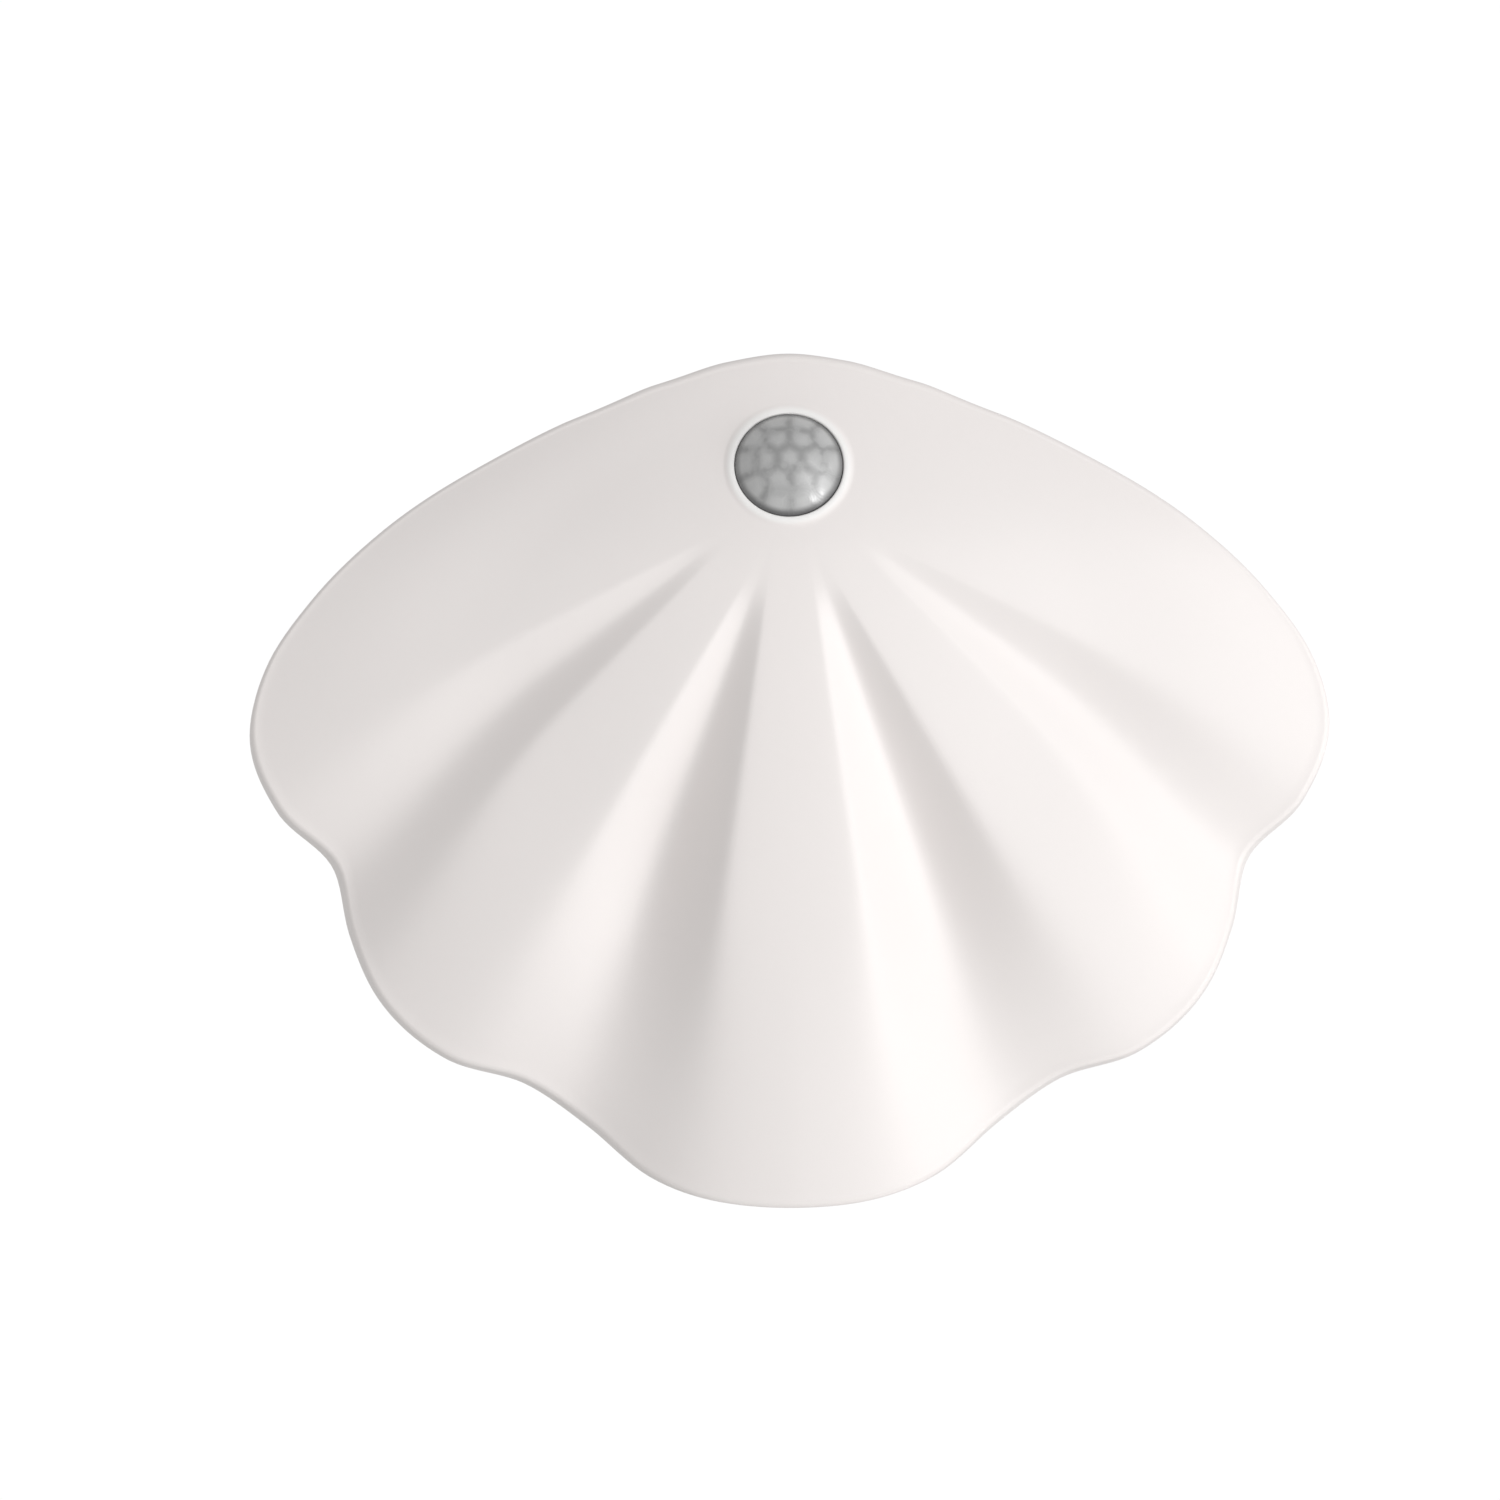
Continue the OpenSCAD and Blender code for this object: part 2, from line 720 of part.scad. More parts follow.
// Round-topped cell beside the can that tells day from night
module light_sensor() {
    cell_r = 1.5;
    cell_h = 2.2;
    color("lightyellow")
    at_lens()
    translate([6.4, 0, -cup_back]) {
        cylinder(h = cell_h, r = cell_r, $fn = small);
        translate([0, 0, cell_h]) intersection() {
            sphere(cell_r, $fn = small);
            translate([-cell_r, -cell_r, 0]) cube([2 * cell_r, 2 * cell_r, cell_r]);
        }
    }
}

// Three wires from the sensor board through the housing floor, round the cell to the main board
module sensor_leads() {
    pitch = 1.6;
    root_pitch = 1.4;
    root_drop = 6;
    root_gap = 0.6;
    side_x = -battery_w / 2 - 2.4;
    top_z = battery_top + 1.2;
    side_out = bay_floor - 5.4;
    root_y = lens_fall + board_back * cos(lens_tilt) - shade_out + root_gap;
    root_z = lens_z - board_back * sin(lens_tilt) - root_drop;
    solder = [-board_w / 2 + 2.4, -board_rear + wire_r + eps, board_top - 2.2];
    color("red")
    for (i = [-1, 0, 1])
        wire(route([
            [i * root_pitch, root_y, root_z],
            [i * root_pitch, -housing_front - 1, lead_hole_z + 2],
            [i * root_pitch, -bay_floor + 2.6 + i * pitch, lead_hole_z],
            [i - root_drop, -bay_floor + 3.6 + i * pitch, top_z],
            [-battery_w / 2 + 1, -side_out + i * pitch, top_z],
            [side_x, -side_out + i * pitch, battery_top - 4],
            [side_x, -side_out + i * pitch, battery_bottom + 2],
            solder + [i * pitch, 0, 0]
        ], 4), wire_r);
}

// Deep moulding with a bay for cell and board, and a light chamber on each side
module rear_housing() {
    ledge = 0.8;
    screw_post_r = 2.2;
    plain_post_r = 1.6;
    rail_half = 1.2;
    slot = stem_w + 2 * switch_travel + 2 * loose;
    color("white")
    difference() {
        union() {
            difference() {
                slab(housing_gap, housing_front - housing_gap) {
                    stadium(0);
                    neck(0);
                }
                slab(housing_gap - over, bay_floor - housing_gap + over) bay(0);
                for (s = [-1, 1]) {
                    slab(housing_gap - over, bay_floor - housing_gap + over)
                        chamber(s, housing_wall + ledge, chamber_x + 1);
                    slab(housing_gap - over, diffuser_t + over)
                        chamber(s, housing_wall - slip, chamber_x);
                }
            }
            for (p = COVER_SCREWS)
                post(p[0], p[1], cover_front, bay_floor - cover_front + eps, boss_r);
            for (p = BOARD_SCREWS)
                post(p[0], p[1], board_out, bay_floor - board_out + eps, screw_post_r);
            for (p = BOARD_POSTS)
                post(p[0], p[1], board_out, bay_floor - board_out + eps, plain_post_r);
            for (s = [-1, 1])
                slab(led_board_out, bay_floor - led_board_out + eps) led_arc(s, rail_half);
        }
        for (p = COVER_SCREWS)
            post(p[0], p[1], housing_gap + head_sink, cover_screw_len + slip, pilot_r);
        for (p = BOARD_SCREWS)
            post(p[0], p[1], board_out - over, board_screw_len - board_t + over + slip, tiny_pilot_r);
        for (p = SHELL_SCREWS)
            post(p[0], p[1], bay_floor - over, housing_wall + 2 * over, screw_r + slip);
        slab(bay_floor - over, housing_wall + 2 * over)
            translate([0, lead_hole_z + 0.6]) rounded(lead_hole_w, lead_hole_h, 2);
        for (s = [-1, 1])
            translate([s * (bay_w / 2 + housing_wall / 2 + 0.5), -lead_out, lead_z])
                cube([housing_wall + 3, lead_slot_t, lead_slot_h], center = true);
        translate([usb_x, -usb_out, -housing_h / 2])
            linear_extrude(2 * (housing_wall + over / 2), center = true)
                rounded(usb_w + 2 * loose, usb_t + 2 * loose, usb_round + loose);
        translate([switch_x, -switch_out, -housing_h / 2])
            cube([slot, stem_t + 2 * loose, 2 * (housing_wall + over / 2)], center = true);
        translate([pipe_x, -pipe_out, -housing_h / 2 - over])
            cylinder(h = housing_wall + 2 * over, r = pipe_r + slip / 2, $fn = small);
    }
}

// Arc band round the end of the housing, as wide as two halves
module led_arc(side, half) {
    intersection() {
        translate([side * end_x, 0]) difference() {
            circle(led_r + half, $fn = fine);
            circle(led_r - half, $fn = fine);
        }
        translate([side * (end_x + led_cut + end_r), 0]) square([2 * end_r, 2 * end_r], center = true);
    }
}

// Raised seat for the wall plate, with the magnets behind it and three feet round it
seat_margin = 4;
plate_round = 5;
feet_r = 4;
feet_sink = 0.8;
feet_gap = 0.2;
foot_in = housing_wall + feet_r + 1.5;
foot_side = 13;
foot_x = bay_w / 2 - foot_side;
FEET = [
    [-foot_x, foot_in - housing_h / 2], [foot_x, foot_in - housing_h / 2], [0, neck_top - foot_in]
];
pocket_play = 0.1;
magnet_x = magnet_d / 2 + 1.5;
magnet_rear = seat_floor + 0.8;
head_sink = 1;
module rear_cover() {
    color("white")
    difference() {
        union() {
            slab(housing_gap, cover_t) bay(slip);
            slab(seat_back, housing_gap - seat_back + eps)
                rounded(plate_w + 2 * seat_margin, plate_h + 2 * seat_margin, plate_round);
        }
        slab(seat_back - over, plate_sink + over)
            rounded(plate_w + 2 * loose, plate_h + 2 * loose, plate_round + loose);
        for (x = [-1, 1])
            post(x * magnet_x, 0, magnet_rear, cover_front - magnet_rear + over,
                magnet_d / 2 + pocket_play);
        for (p = FEET)
            post(p[0], p[1], housing_gap - over, feet_sink + over, feet_r + pocket_play);
        for (p = COVER_SCREWS) {
            post(p[0], p[1], housing_gap - over, cover_t + 2 * over, screw_r + slip);
            post(p[0], p[1], housing_gap - over, head_sink + over, head_r + loose);
        }
    }
}

module cover_screws() {
    color("gray")
    for (p = COVER_SCREWS)
        translate([p[0], -housing_gap - head_sink, p[1]]) rotate([-90, 0, 0])
            pan_screw(head_r, sunk_head_t, screw_r, cover_screw_len);
}

module shell_screws() {
    color("gray")
    for (p = SHELL_SCREWS)
        translate([p[0], -bay_floor, p[1]]) rotate([-90, 0, 0])
            pan_screw(head_r, head_t, screw_r, shell_screw_len);
}

// Soft feet that keep the lamp level against the wall
module wall_feet() {
    color("gainsboro")
    for (p = FEET)
        post(p[0], p[1], feet_gap, housing_gap + feet_sink - feet_gap, feet_r);
}

module magnets() {
    color("silver")
    for (x = [-1, 1])
        post(x * magnet_x, 0, magnet_rear, magnet_t, magnet_d / 2);
}

module diffuser(side) {
    color("white", 0.8)
    slab(housing_gap, diffuser_t) chamber(side, housing_wall, chamber_x + slip);
}
module diffuser_left() { diffuser(-1); }
module diffuser_right() { diffuser(1); }

module led_board(side) {
    color("white")
    slab(led_board_rear, led_board_t) led_arc(side, led_half);
}
module led_board_left() { led_board(-1); }
module led_board_right() { led_board(1); }

// Light packages in a row along the arc, each with a cavity for its phosphor
module led_packages(side) {
    color("gold")
    for (a = LED_ANGLES)
        translate([side * (end_x + led_r * cos(a)), -led_board_rear, led_r * sin(a)])
            rotate([0, -side * a, 0])
                difference() {
                    translate([-led_w / 2, 0, -led_h / 2]) cube([led_w, led_t, led_h]);
                    translate([led_lip - led_w / 2, led_t * 0.75, led_lip - led_h / 2])
                        cube([led_w - 2 * led_lip, led_t, led_h - 2 * led_lip]);
                }
}
module led_packages_left() { led_packages(-1); }
module led_packages_right() { led_packages(1); }

// Two wires to each light board, through the partitions
module led_leads() {
    half_pitch = 0.9;
    color("red")
    for (s = [-1, 1])
        for (i = [-half_pitch, half_pitch])
            wire(route([
                [s * (board_w / 2 - 1.2), -board_rear + wire_r + eps, lead_z + i],
                [s * (board_w / 2 + 1.5), -board_rear + 1, lead_z + i],
                [s * (bay_w / 2 - 1), -lead_out, lead_z + i],
                [s * (chamber_x + 2.4 + i), -lead_out, lead_z + i],
                [s * (end_x + led_cut + 1 + i), -led_board_rear + wire_r + eps, -led_r + 1]
            ], 3), wire_r);
}

module main_board() {
    color("darkgreen")
    difference() {
        translate([-board_w / 2, -board_out, board_bottom]) cube([board_w, board_t, board_h]);
        for (p = BOARD_SCREWS)
            post(p[0], p[1], board_rear - over, board_t + 2 * over, tiny_r + loose);
    }
}

module board_screws() {
    color("gray")
    for (p = BOARD_SCREWS)
        translate([p[0], -board_rear, p[1]]) rotate([-90, 0, 0])
            pan_screw(tiny_head_r, tiny_head_t, tiny_r, board_screw_len);
}

// Chip in a flat package with gull-wing legs down both long sides
module control_chip() {
    side = 4.8;
    body_t = 1.4;
    body_lift = 0.15;
    pitch = 1.27;
    leg_w = 0.4;
    leg_t = 0.2;
    leg_reach = 0.9;
    leg_h = 0.7;
    left = 2;
    rise = 13;
    color("dimgray")
    translate([-left, -board_rear, board_bottom + rise]) {
        translate([-side / 2, body_lift, -side / 2]) cube([side, body_t, side]);
        for (s = [-1, 1])
            for (k = [-1.5:1:1.5]) {
                translate([s * (side / 2 + leg_reach / 2 - eps) - leg_reach / 2, leg_h - leg_t,
                    k * pitch - leg_w / 2])
                    cube([leg_reach, leg_t, leg_w]);
                translate([s * (side / 2 + leg_reach - eps) - leg_t / 2, 0, k * pitch - leg_w / 2])
                    cube([leg_t, leg_h, leg_w]);
            }
    }
}

// Drum of wire between two square flanges
module power_inductor() {
    side = 5.2;
    flange_t = 0.5;
    drum_r = 2.1;
    drum_t = 1.9;
    inward = 12;
    rise = 12.5;
    color("slategray")
    translate([board_w / 2 - inward, -board_rear, board_bottom + rise]) rotate([-90, 0, 0]) {
        linear_extrude(flange_t) rounded(side, side, 1.2);
        translate([0, 0, flange_t - eps]) cylinder(h = drum_t + 2 * eps, r = drum_r, $fn = small);
        translate([0, 0, flange_t + drum_t]) linear_extrude(flange_t) rounded(side, side, 1.2);
    }
}

// Two cans, each with a crimped groove above its foot
module board_capacitors() {
    can = 2;
    groove = 0.15;
    tall = 5.1;
    color("darkslateblue")
    for (x = [5.4, 10.4])
        translate([board_w / 2 - x, -board_rear, board_top - 3.8]) rotate([-90, 0, 0])
            rotate_extrude($fn = small)
                polygon([
                    [0, 0], [can, 0], [can, 1], [can - groove, 1.2], [can, 1.4],
                    [can, tall - 0.2], [can - 0.2, tall], [0, tall]
                ]);
}

// Pouch cell with the thin sealed edge at its top
module battery_cell() {
    seal_t = 0.8;
    pouch_h = battery_h - battery_seal;
    color("lightsteelblue")
    translate([-battery_w / 2, -bay_floor + tape_t, battery_bottom]) {
        cube([battery_w, battery_t, pouch_h]);
        translate([0, (battery_t - seal_t) / 2, pouch_h - eps])
            cube([battery_w, seal_t, battery_seal + eps]);
    }
}

module battery_tape() {
    margin = 3;
    color("lightgray")
    translate([-battery_w / 2 + margin, -bay_floor, battery_bottom + margin])
        cube([battery_w - 2 * margin, tape_t, battery_h - battery_seal - 2 * margin]);
}

header_x = 9 - board_w / 2;
header_z = board_top - 5;
module battery_header() {
    w = 6;
    t = 3.6;
    h = 4.8;
    wall = 0.6;
    color("ivory")
    translate([header_x, -board_rear, header_z])
    difference() {
        translate([-w / 2, 0, wall - 2.8]) cube([w, t, h]);
        translate([wall - w / 2, wall, -1]) cube([w - 2 * wall, t - 2 * wall, h]);
    }
}

module battery_leads() {
    color("red")
    for (i = [-1, 1])
        wire(route([
            [header_x + i, -board_rear + 1.8, header_z + 0.2],
            [header_x + i, -board_rear + 1.8, header_z + 3.2],
            [header_x + 1 + i, -board_rear + 2.6, header_z + 5.2],
            [header_x + 4 + i, -board_rear + 1.6, battery_bottom - 1.8],
            [header_x + 5 + i, -bay_floor + tape_t + battery_t / 2, battery_bottom - wire_r]
        ], 3), wire_r);
}

// Charging socket: a bent metal tube open at the mouth, closed behind
module usb_socket() {
    color("silver")
    translate([usb_x, -usb_out, usb_mouth])
    difference() {
        linear_extrude(usb_len) rounded(usb_w, usb_t, usb_round);
        translate([0, 0, -usb_wall])
            linear_extrude(usb_len)
                rounded(usb_w - 2 * usb_wall, usb_t - 2 * usb_wall, usb_round - usb_wall);
    }
}

// The tongue stands on the socket's closed end
module usb_tongue() {
    w = 6.7;
    t = 0.7;
    setback = 0.8;
    color("dimgray")
    translate([usb_x - w / 2, -usb_out - t / 2, usb_mouth + setback])
        cube([w, t, usb_len - usb_wall - setback]);
}

module switch_body() {
    slot = stem_w + 2 * switch_travel + 2 * loose;
    slot_t = stem_t + 2 * loose;
    color("silver")
    difference() {
        translate([switch_x - switch_w / 2, -switch_out - switch_t / 2, board_bottom])
            cube([switch_w, switch_t, switch_h]);
        translate([switch_x - slot / 2, -switch_out - slot_t / 2, board_bottom - over])
            cube([slot, slot_t, over + stem_in + loose]);
    }
}

module charge_led() {
    color("lightyellow")
    translate([pipe_x - 0.8, -board_rear, board_bottom + 0.2]) cube([1.6, 0.7, 0.9]);
}

// Clear rod that carries the charge light through the housing's bottom wall
module charge_light_pipe() {
    proud = 0.3;
    bevel = 0.15;
    len = proud + housing_wall + 0.2;
    color("white", 0.6)
    translate([pipe_x, -pipe_out, -housing_h / 2 - proud]) {
        cylinder(h = len, r = pipe_r, $fn = small);
        translate([0, 0, len - eps]) cylinder(h = bevel, r1 = pipe_r, r2 = pipe_r - bevel, $fn = small);
    }
}

// Ribbed thumb piece on a stem that reaches into the switch
module switch_knob() {
    wall_out = -housing_h / 2;
    rib_pitch = 1.2;
    groove_w = 0.5;
    groove_d = 0.4;
    color("dimgray")
    translate([switch_x, -switch_out, 0]) {
        translate([-stem_w / 2, -stem_t / 2, wall_out - slip - eps])
            cube([stem_w, stem_t, board_bottom + stem_in - wall_out + slip + eps]);
        difference() {
            translate([-cap_w / 2, -cap_t / 2, wall_out - slip - cap_h]) cube([cap_w, cap_t, cap_h]);
            for (k = [-1, 0, 1])
                translate([k * rib_pitch - groove_w / 2, -cap_t, wall_out - slip - cap_h - over])
                    cube([groove_w, 2 * cap_t, over + groove_d]);
        }
    }
}

adhesive_pad();
wall_plate();
shell_cover();
pir_lens();
lens_retainer();
retainer_screws();
pir_board();
pir_sensor();
pir_window();
light_sensor();
sensor_leads();
rear_housing();
rear_cover();
cover_screws();
shell_screws();
wall_feet();
magnets();
diffuser_left();
diffuser_right();
led_board_left();
led_board_right();
led_packages_left();
led_packages_right();
led_leads();
main_board();
board_screws();
control_chip();
power_inductor();
board_capacitors();
battery_cell();
battery_tape();
battery_header();
battery_leads();
usb_socket();
usb_tongue();
switch_body();
charge_led();
charge_light_pipe();
switch_knob();
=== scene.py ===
# Battery wall light: a pleated scallop-shell shade with a domed sensor lens, on a magnetic plate.
# Blender works in metres. The wall is the plane y = 0, the light stands out towards -Y, +Z is up.

import math

import bmesh
import bpy
import numpy as np
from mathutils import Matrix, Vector


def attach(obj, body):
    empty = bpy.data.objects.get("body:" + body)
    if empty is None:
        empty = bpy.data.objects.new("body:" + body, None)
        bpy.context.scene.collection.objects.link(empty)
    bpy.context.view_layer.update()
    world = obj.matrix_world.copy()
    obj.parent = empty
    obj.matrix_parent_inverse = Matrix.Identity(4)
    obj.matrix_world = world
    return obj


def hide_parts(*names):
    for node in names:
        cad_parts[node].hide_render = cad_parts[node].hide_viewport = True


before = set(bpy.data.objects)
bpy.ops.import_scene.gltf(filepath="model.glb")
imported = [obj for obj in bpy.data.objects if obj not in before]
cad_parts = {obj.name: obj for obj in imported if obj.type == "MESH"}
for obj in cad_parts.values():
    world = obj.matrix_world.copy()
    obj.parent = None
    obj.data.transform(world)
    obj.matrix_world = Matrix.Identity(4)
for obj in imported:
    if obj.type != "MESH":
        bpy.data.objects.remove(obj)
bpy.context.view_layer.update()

# Camera: square to the wall and some 0.7 m away, with a long lens, as for a catalogue picture.
# It stands a little left of the shade, its picture shifted back and turned by half a degree.
camera = bpy.data.objects.new("camera", bpy.data.cameras.new("camera"))
bpy.context.scene.collection.objects.link(camera)
bpy.context.scene.camera = camera
camera.data.sensor_width = 36
camera.data.lens = 120
picture_width = 0.2214
picture_shift = 0.008
picture_turn = math.radians(0.6)
rim_plane = -0.017
away = picture_width * camera.data.lens / camera.data.sensor_width
camera.location = (-0.0139, rim_plane - away, -0.0054)
camera.data.shift_x = picture_shift / picture_width
camera.rotation_euler = (math.pi / 2, picture_turn, 0)
camera.data.clip_end = 20
bpy.context.scene.view_settings.view_transform = "Standard"

# Light: a large soft box level with the shade on its right, and a small one lower down that puts
# the glint on the lens. A white room fills the shadows and shows as pure white behind the object.
light_distance = 1.5


def soft_light(name, size, energy, direction):
    """A square area light that stands in that direction and looks back at the object."""
    made = bpy.data.objects.new(name, bpy.data.lights.new(name, "AREA"))
    bpy.context.scene.collection.objects.link(made)
    made.data.shape = "SQUARE"
    made.data.size = size
    made.data.energy = energy
    made.location = Vector(direction).normalized() * light_distance
    made.rotation_euler = made.location.to_track_quat("Z", "Y").to_euler()


soft_light("softbox", 1.2, 9.0, (1.1, -1.0, 0.0))
soft_light("glint", 0.34, 4.4, (1.3, -1.0, -0.62))

room = bpy.data.worlds.new("room")
bpy.context.scene.world = room
room.use_nodes = True
fill = room.node_tree.nodes["Background"]
fill.inputs["Color"].default_value = (1, 0.997, 0.993, 1)
fill.inputs["Strength"].default_value = 0.595
seen = room.node_tree.nodes.new("ShaderNodeBackground")
seen.inputs["Color"].default_value = (1, 1, 1, 1)
seen.inputs["Strength"].default_value = 1.02
rays = room.node_tree.nodes.new("ShaderNodeLightPath")
choice = room.node_tree.nodes.new("ShaderNodeMixShader")
room.node_tree.links.new(rays.outputs["Is Camera Ray"], choice.inputs["Fac"])
room.node_tree.links.new(fill.outputs["Background"], choice.inputs[1])
room.node_tree.links.new(seen.outputs["Background"], choice.inputs[2])
shown = room.node_tree.nodes["World Output"].inputs["Surface"]
room.node_tree.links.new(choice.outputs["Shader"], shown)


# Floor: a plain pale surface well below the light, out of the straight view.
# It is smooth painted board with a faint mottle.
class Signal:
    """A shader socket for Python sums: each operator adds the Math node that works it out."""

    def __init__(self, finish, socket):
        self.finish = finish
        self.socket = socket

    def math(self, operation, *values):
        inputs = dict(enumerate(values))
        return self.finish.node("ShaderNodeMath", {"operation": operation}, inputs)

    def __add__(self, other):
        return self.math("ADD", self, other)

    def __radd__(self, other):
        return self.math("ADD", other, self)

    def __sub__(self, other):
        return self.math("SUBTRACT", self, other)

    def __rsub__(self, other):
        return self.math("SUBTRACT", other, self)

    def __mul__(self, other):
        return self.math("MULTIPLY", self, other)

    def __rmul__(self, other):
        return self.math("MULTIPLY", other, self)

    def __truediv__(self, other):
        return self.math("DIVIDE", self, other)

    def __pow__(self, other):
        return self.math("POWER", self, other)

    def __gt__(self, other):
        return self.math("GREATER_THAN", self, other)

    def __lt__(self, other):
        return self.math("LESS_THAN", self, other)

    def __mod__(self, other):
        return self.math("FLOORED_MODULO", self, other)

    def __abs__(self):
        return self.math("ABSOLUTE", self)

    def wave(self):
        return self.math("SINE", self)


class Finish:
    """A material that ends in one Principled shader, its patterns on Object coordinates."""

    def __init__(self, name):
        self.material = bpy.data.materials.new(name)
        self.material.use_nodes = True
        self.tree = self.material.node_tree
        self.shader = self.tree.nodes["Principled BSDF"]
        self.place = self.node("ShaderNodeTexCoord", output="Object")

    def node(self, kind, settings=None, inputs=None, output=0):
        """Adds a node: its settings are set first, then each socket gets its value or link."""
        made = self.tree.nodes.new(kind)
        for key, value in (settings or {}).items():
            setattr(made, key, value)
        self.feed(made, inputs or {})
        return Signal(self, made.outputs[output])

    def feed(self, made, inputs):
        """Puts a link or a plain value on each socket that inputs names."""
        for key, value in inputs.items():
            if isinstance(value, Signal):
                self.tree.links.new(value.socket, made.inputs[key])
            else:
                made.inputs[key].default_value = value

    def surface(self, inputs):
        self.feed(self.shader, inputs)

    def grain(self, size, detail=2.0, stretch=(1, 1, 1), rough=0.5):
        """Noise from 0 to 1, its grains that size in metres and longer where stretch is small."""
        where = self.place
        if stretch != (1, 1, 1):
            scaled = {0: self.place, 1: stretch}
            where = self.node("ShaderNodeVectorMath", {"operation": "MULTIPLY"}, scaled)
        inputs = {"Vector": where, "Scale": 1 / size, "Detail": detail, "Roughness": rough}
        return self.node("ShaderNodeTexNoise", None, inputs)

    def along(self, axis):
        """The Object coordinate along one axis, in metres."""
        return self.node("ShaderNodeSeparateXYZ", None, {"Vector": self.place}, axis)

    def facing(self, axis):
        """How far the surface faces along one axis, from -1 to 1."""
        normal = self.node("ShaderNodeNewGeometry", output="Normal")
        return self.node("ShaderNodeSeparateXYZ", None, {"Vector": normal}, axis)

    def mix(self, share, low, high):
        """A colour between two, each a tuple or a Signal."""
        low, high = [(*tone, 1) if isinstance(tone, tuple) else tone for tone in (low, high)]
        return self.node("ShaderNodeMix", {"data_type": "RGBA"}, {0: share, 6: low, 7: high}, 2)

    def eased(self, value, start, end, low=0.0, high=1.0):
        """low where value is at start, high at end, eased between them; end may be the smaller."""
        span = {"Value": value, 1: start, 2: end, 3: low, 4: high}
        return self.node("ShaderNodeMapRange", {"interpolation_type": "SMOOTHSTEP"}, span)

    def relief(self, height, depth):
        """The normal of a surface whose height runs from 0 to 1 over that depth in metres."""
        bump = {"Height": height, "Distance": depth, "Strength": 1.0}
        return self.node("ShaderNodeBump", None, bump)


floor_drop = -0.62
floor_half = 1.6
floor_corners = [(-1, -1), (1, -1), (1, 1), (-1, 1)]
floor_points = [(x * floor_half, y * floor_half, floor_drop) for x, y in floor_corners]
floor_mesh = bpy.data.meshes.new("floor")
floor_mesh.from_pydata(floor_points, [], [(0, 1, 2, 3)])
floor = bpy.data.objects.new("floor", floor_mesh)
bpy.context.scene.collection.objects.link(floor)
board = Finish("floor_board")
mottle = board.grain(0.12, 3.0)
board.surface({
    "Base Color": board.mix(mottle, (0.84, 0.84, 0.835), (0.88, 0.88, 0.875)),
    "Roughness": 0.7,
})
floor_mesh.materials.append(board.material)


# Wall base: a nickel-plated steel plate on a pad of closed-cell foam tape, stuck to the wall.
# Sheet rolling leaves fine streaks along the plate, and the foam shows its cells.
def dress(finish, *names):
    """Gives CAD nodes a finish in place of their plain one."""
    for name in names:
        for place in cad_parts[name].material_slots:
            place.material = finish.material


foam = Finish("closed_cell_foam")
foam_cells = {"Vector": foam.place, "Scale": 2400.0}
foam_cell = foam.node("ShaderNodeTexVoronoi", None, foam_cells, "Distance")
foam_tone = foam.grain(0.004, 3.0)
foam.surface({
    "Base Color": foam.mix(foam_tone, (0.62, 0.62, 0.6), (0.74, 0.74, 0.72)),
    "Roughness": 0.82 + 0.12 * foam_cell,
    "Normal": foam.relief(foam_cell, 0.00008),
})
dress(foam, "adhesive_pad", "battery_tape")

nickel = Finish("nickel_plated_sheet")
nickel_streak = nickel.grain(0.0002, 4.0, (0.03, 1, 1))
nickel_cloud = nickel.grain(0.008, 3.0)
nickel.surface({
    "Base Color": nickel.mix(nickel_cloud, (0.64, 0.62, 0.59), (0.76, 0.745, 0.72)),
    "Metallic": 1.0,
    "Roughness": 0.22 + 0.14 * nickel_streak + 0.08 * nickel_cloud,
    "Normal": nickel.relief(nickel_streak, 0.000006),
})
dress(nickel, "wall_plate", "usb_socket", "switch_body")

# Magnets: two sintered discs with bright nickel plating, pressed into pockets behind the seat.
# The plating is smooth with a slight orange peel.
bright = Finish("magnet_plating")
bright_peel = bright.grain(0.0006, 2.0)
bright.surface({
    "Base Color": bright.mix(bright_peel, (0.7, 0.7, 0.69), (0.8, 0.8, 0.79)),
    "Metallic": 1.0,
    "Roughness": 0.12 + 0.08 * bright_peel,
    "Normal": bright.relief(bright_peel, 0.000005),
})
dress(bright, "magnets")

# Housing, rear cover and sensor cup: white moulded plastic with a fine sparked texture.
# The flow of the melt leaves faint broad clouds.
moulding = Finish("white_moulding")
spark = moulding.grain(0.00022, 3.0)
flow = moulding.grain(0.03, 2.0, (1, 1, 0.4))
moulding.surface({
    "Base Color": moulding.mix(flow, (0.77, 0.76, 0.735), (0.82, 0.81, 0.79)),
    "Roughness": 0.46 + 0.12 * flow + 0.1 * spark,
    "Normal": moulding.relief(spark, 0.000014),
})
dress(moulding, "rear_housing", "rear_cover", "lens_retainer")

# Wall feet: three turned buttons of soft silicone, glued into shallow pockets of the rear cover.
# Silicone is milky and picks up a little dust.
silicone = Finish("soft_silicone")
dust = silicone.grain(0.0012, 4.0, rough=0.7)
silicone.surface({
    "Base Color": silicone.mix(dust, (0.66, 0.66, 0.65), (0.76, 0.76, 0.755)),
    "Roughness": 0.55 + 0.2 * dust,
    "Normal": silicone.relief(dust, 0.00001),
})
dress(silicone, "wall_feet")

# Diffusers: milky acrylic sheet that closes each light chamber, set in a ledge of the housing.
# It is cloudy, so the light packages behind it only show as faint warm spots.
milky = Finish("milky_acrylic")
haze = milky.grain(0.006, 3.0)
milky.surface({
    "Base Color": milky.mix(haze, (0.88, 0.885, 0.88), (0.93, 0.93, 0.92)),
    "Roughness": 0.2 + 0.08 * haze,
    "Alpha": 0.45,
})
dress(milky, "diffuser_left", "diffuser_right")

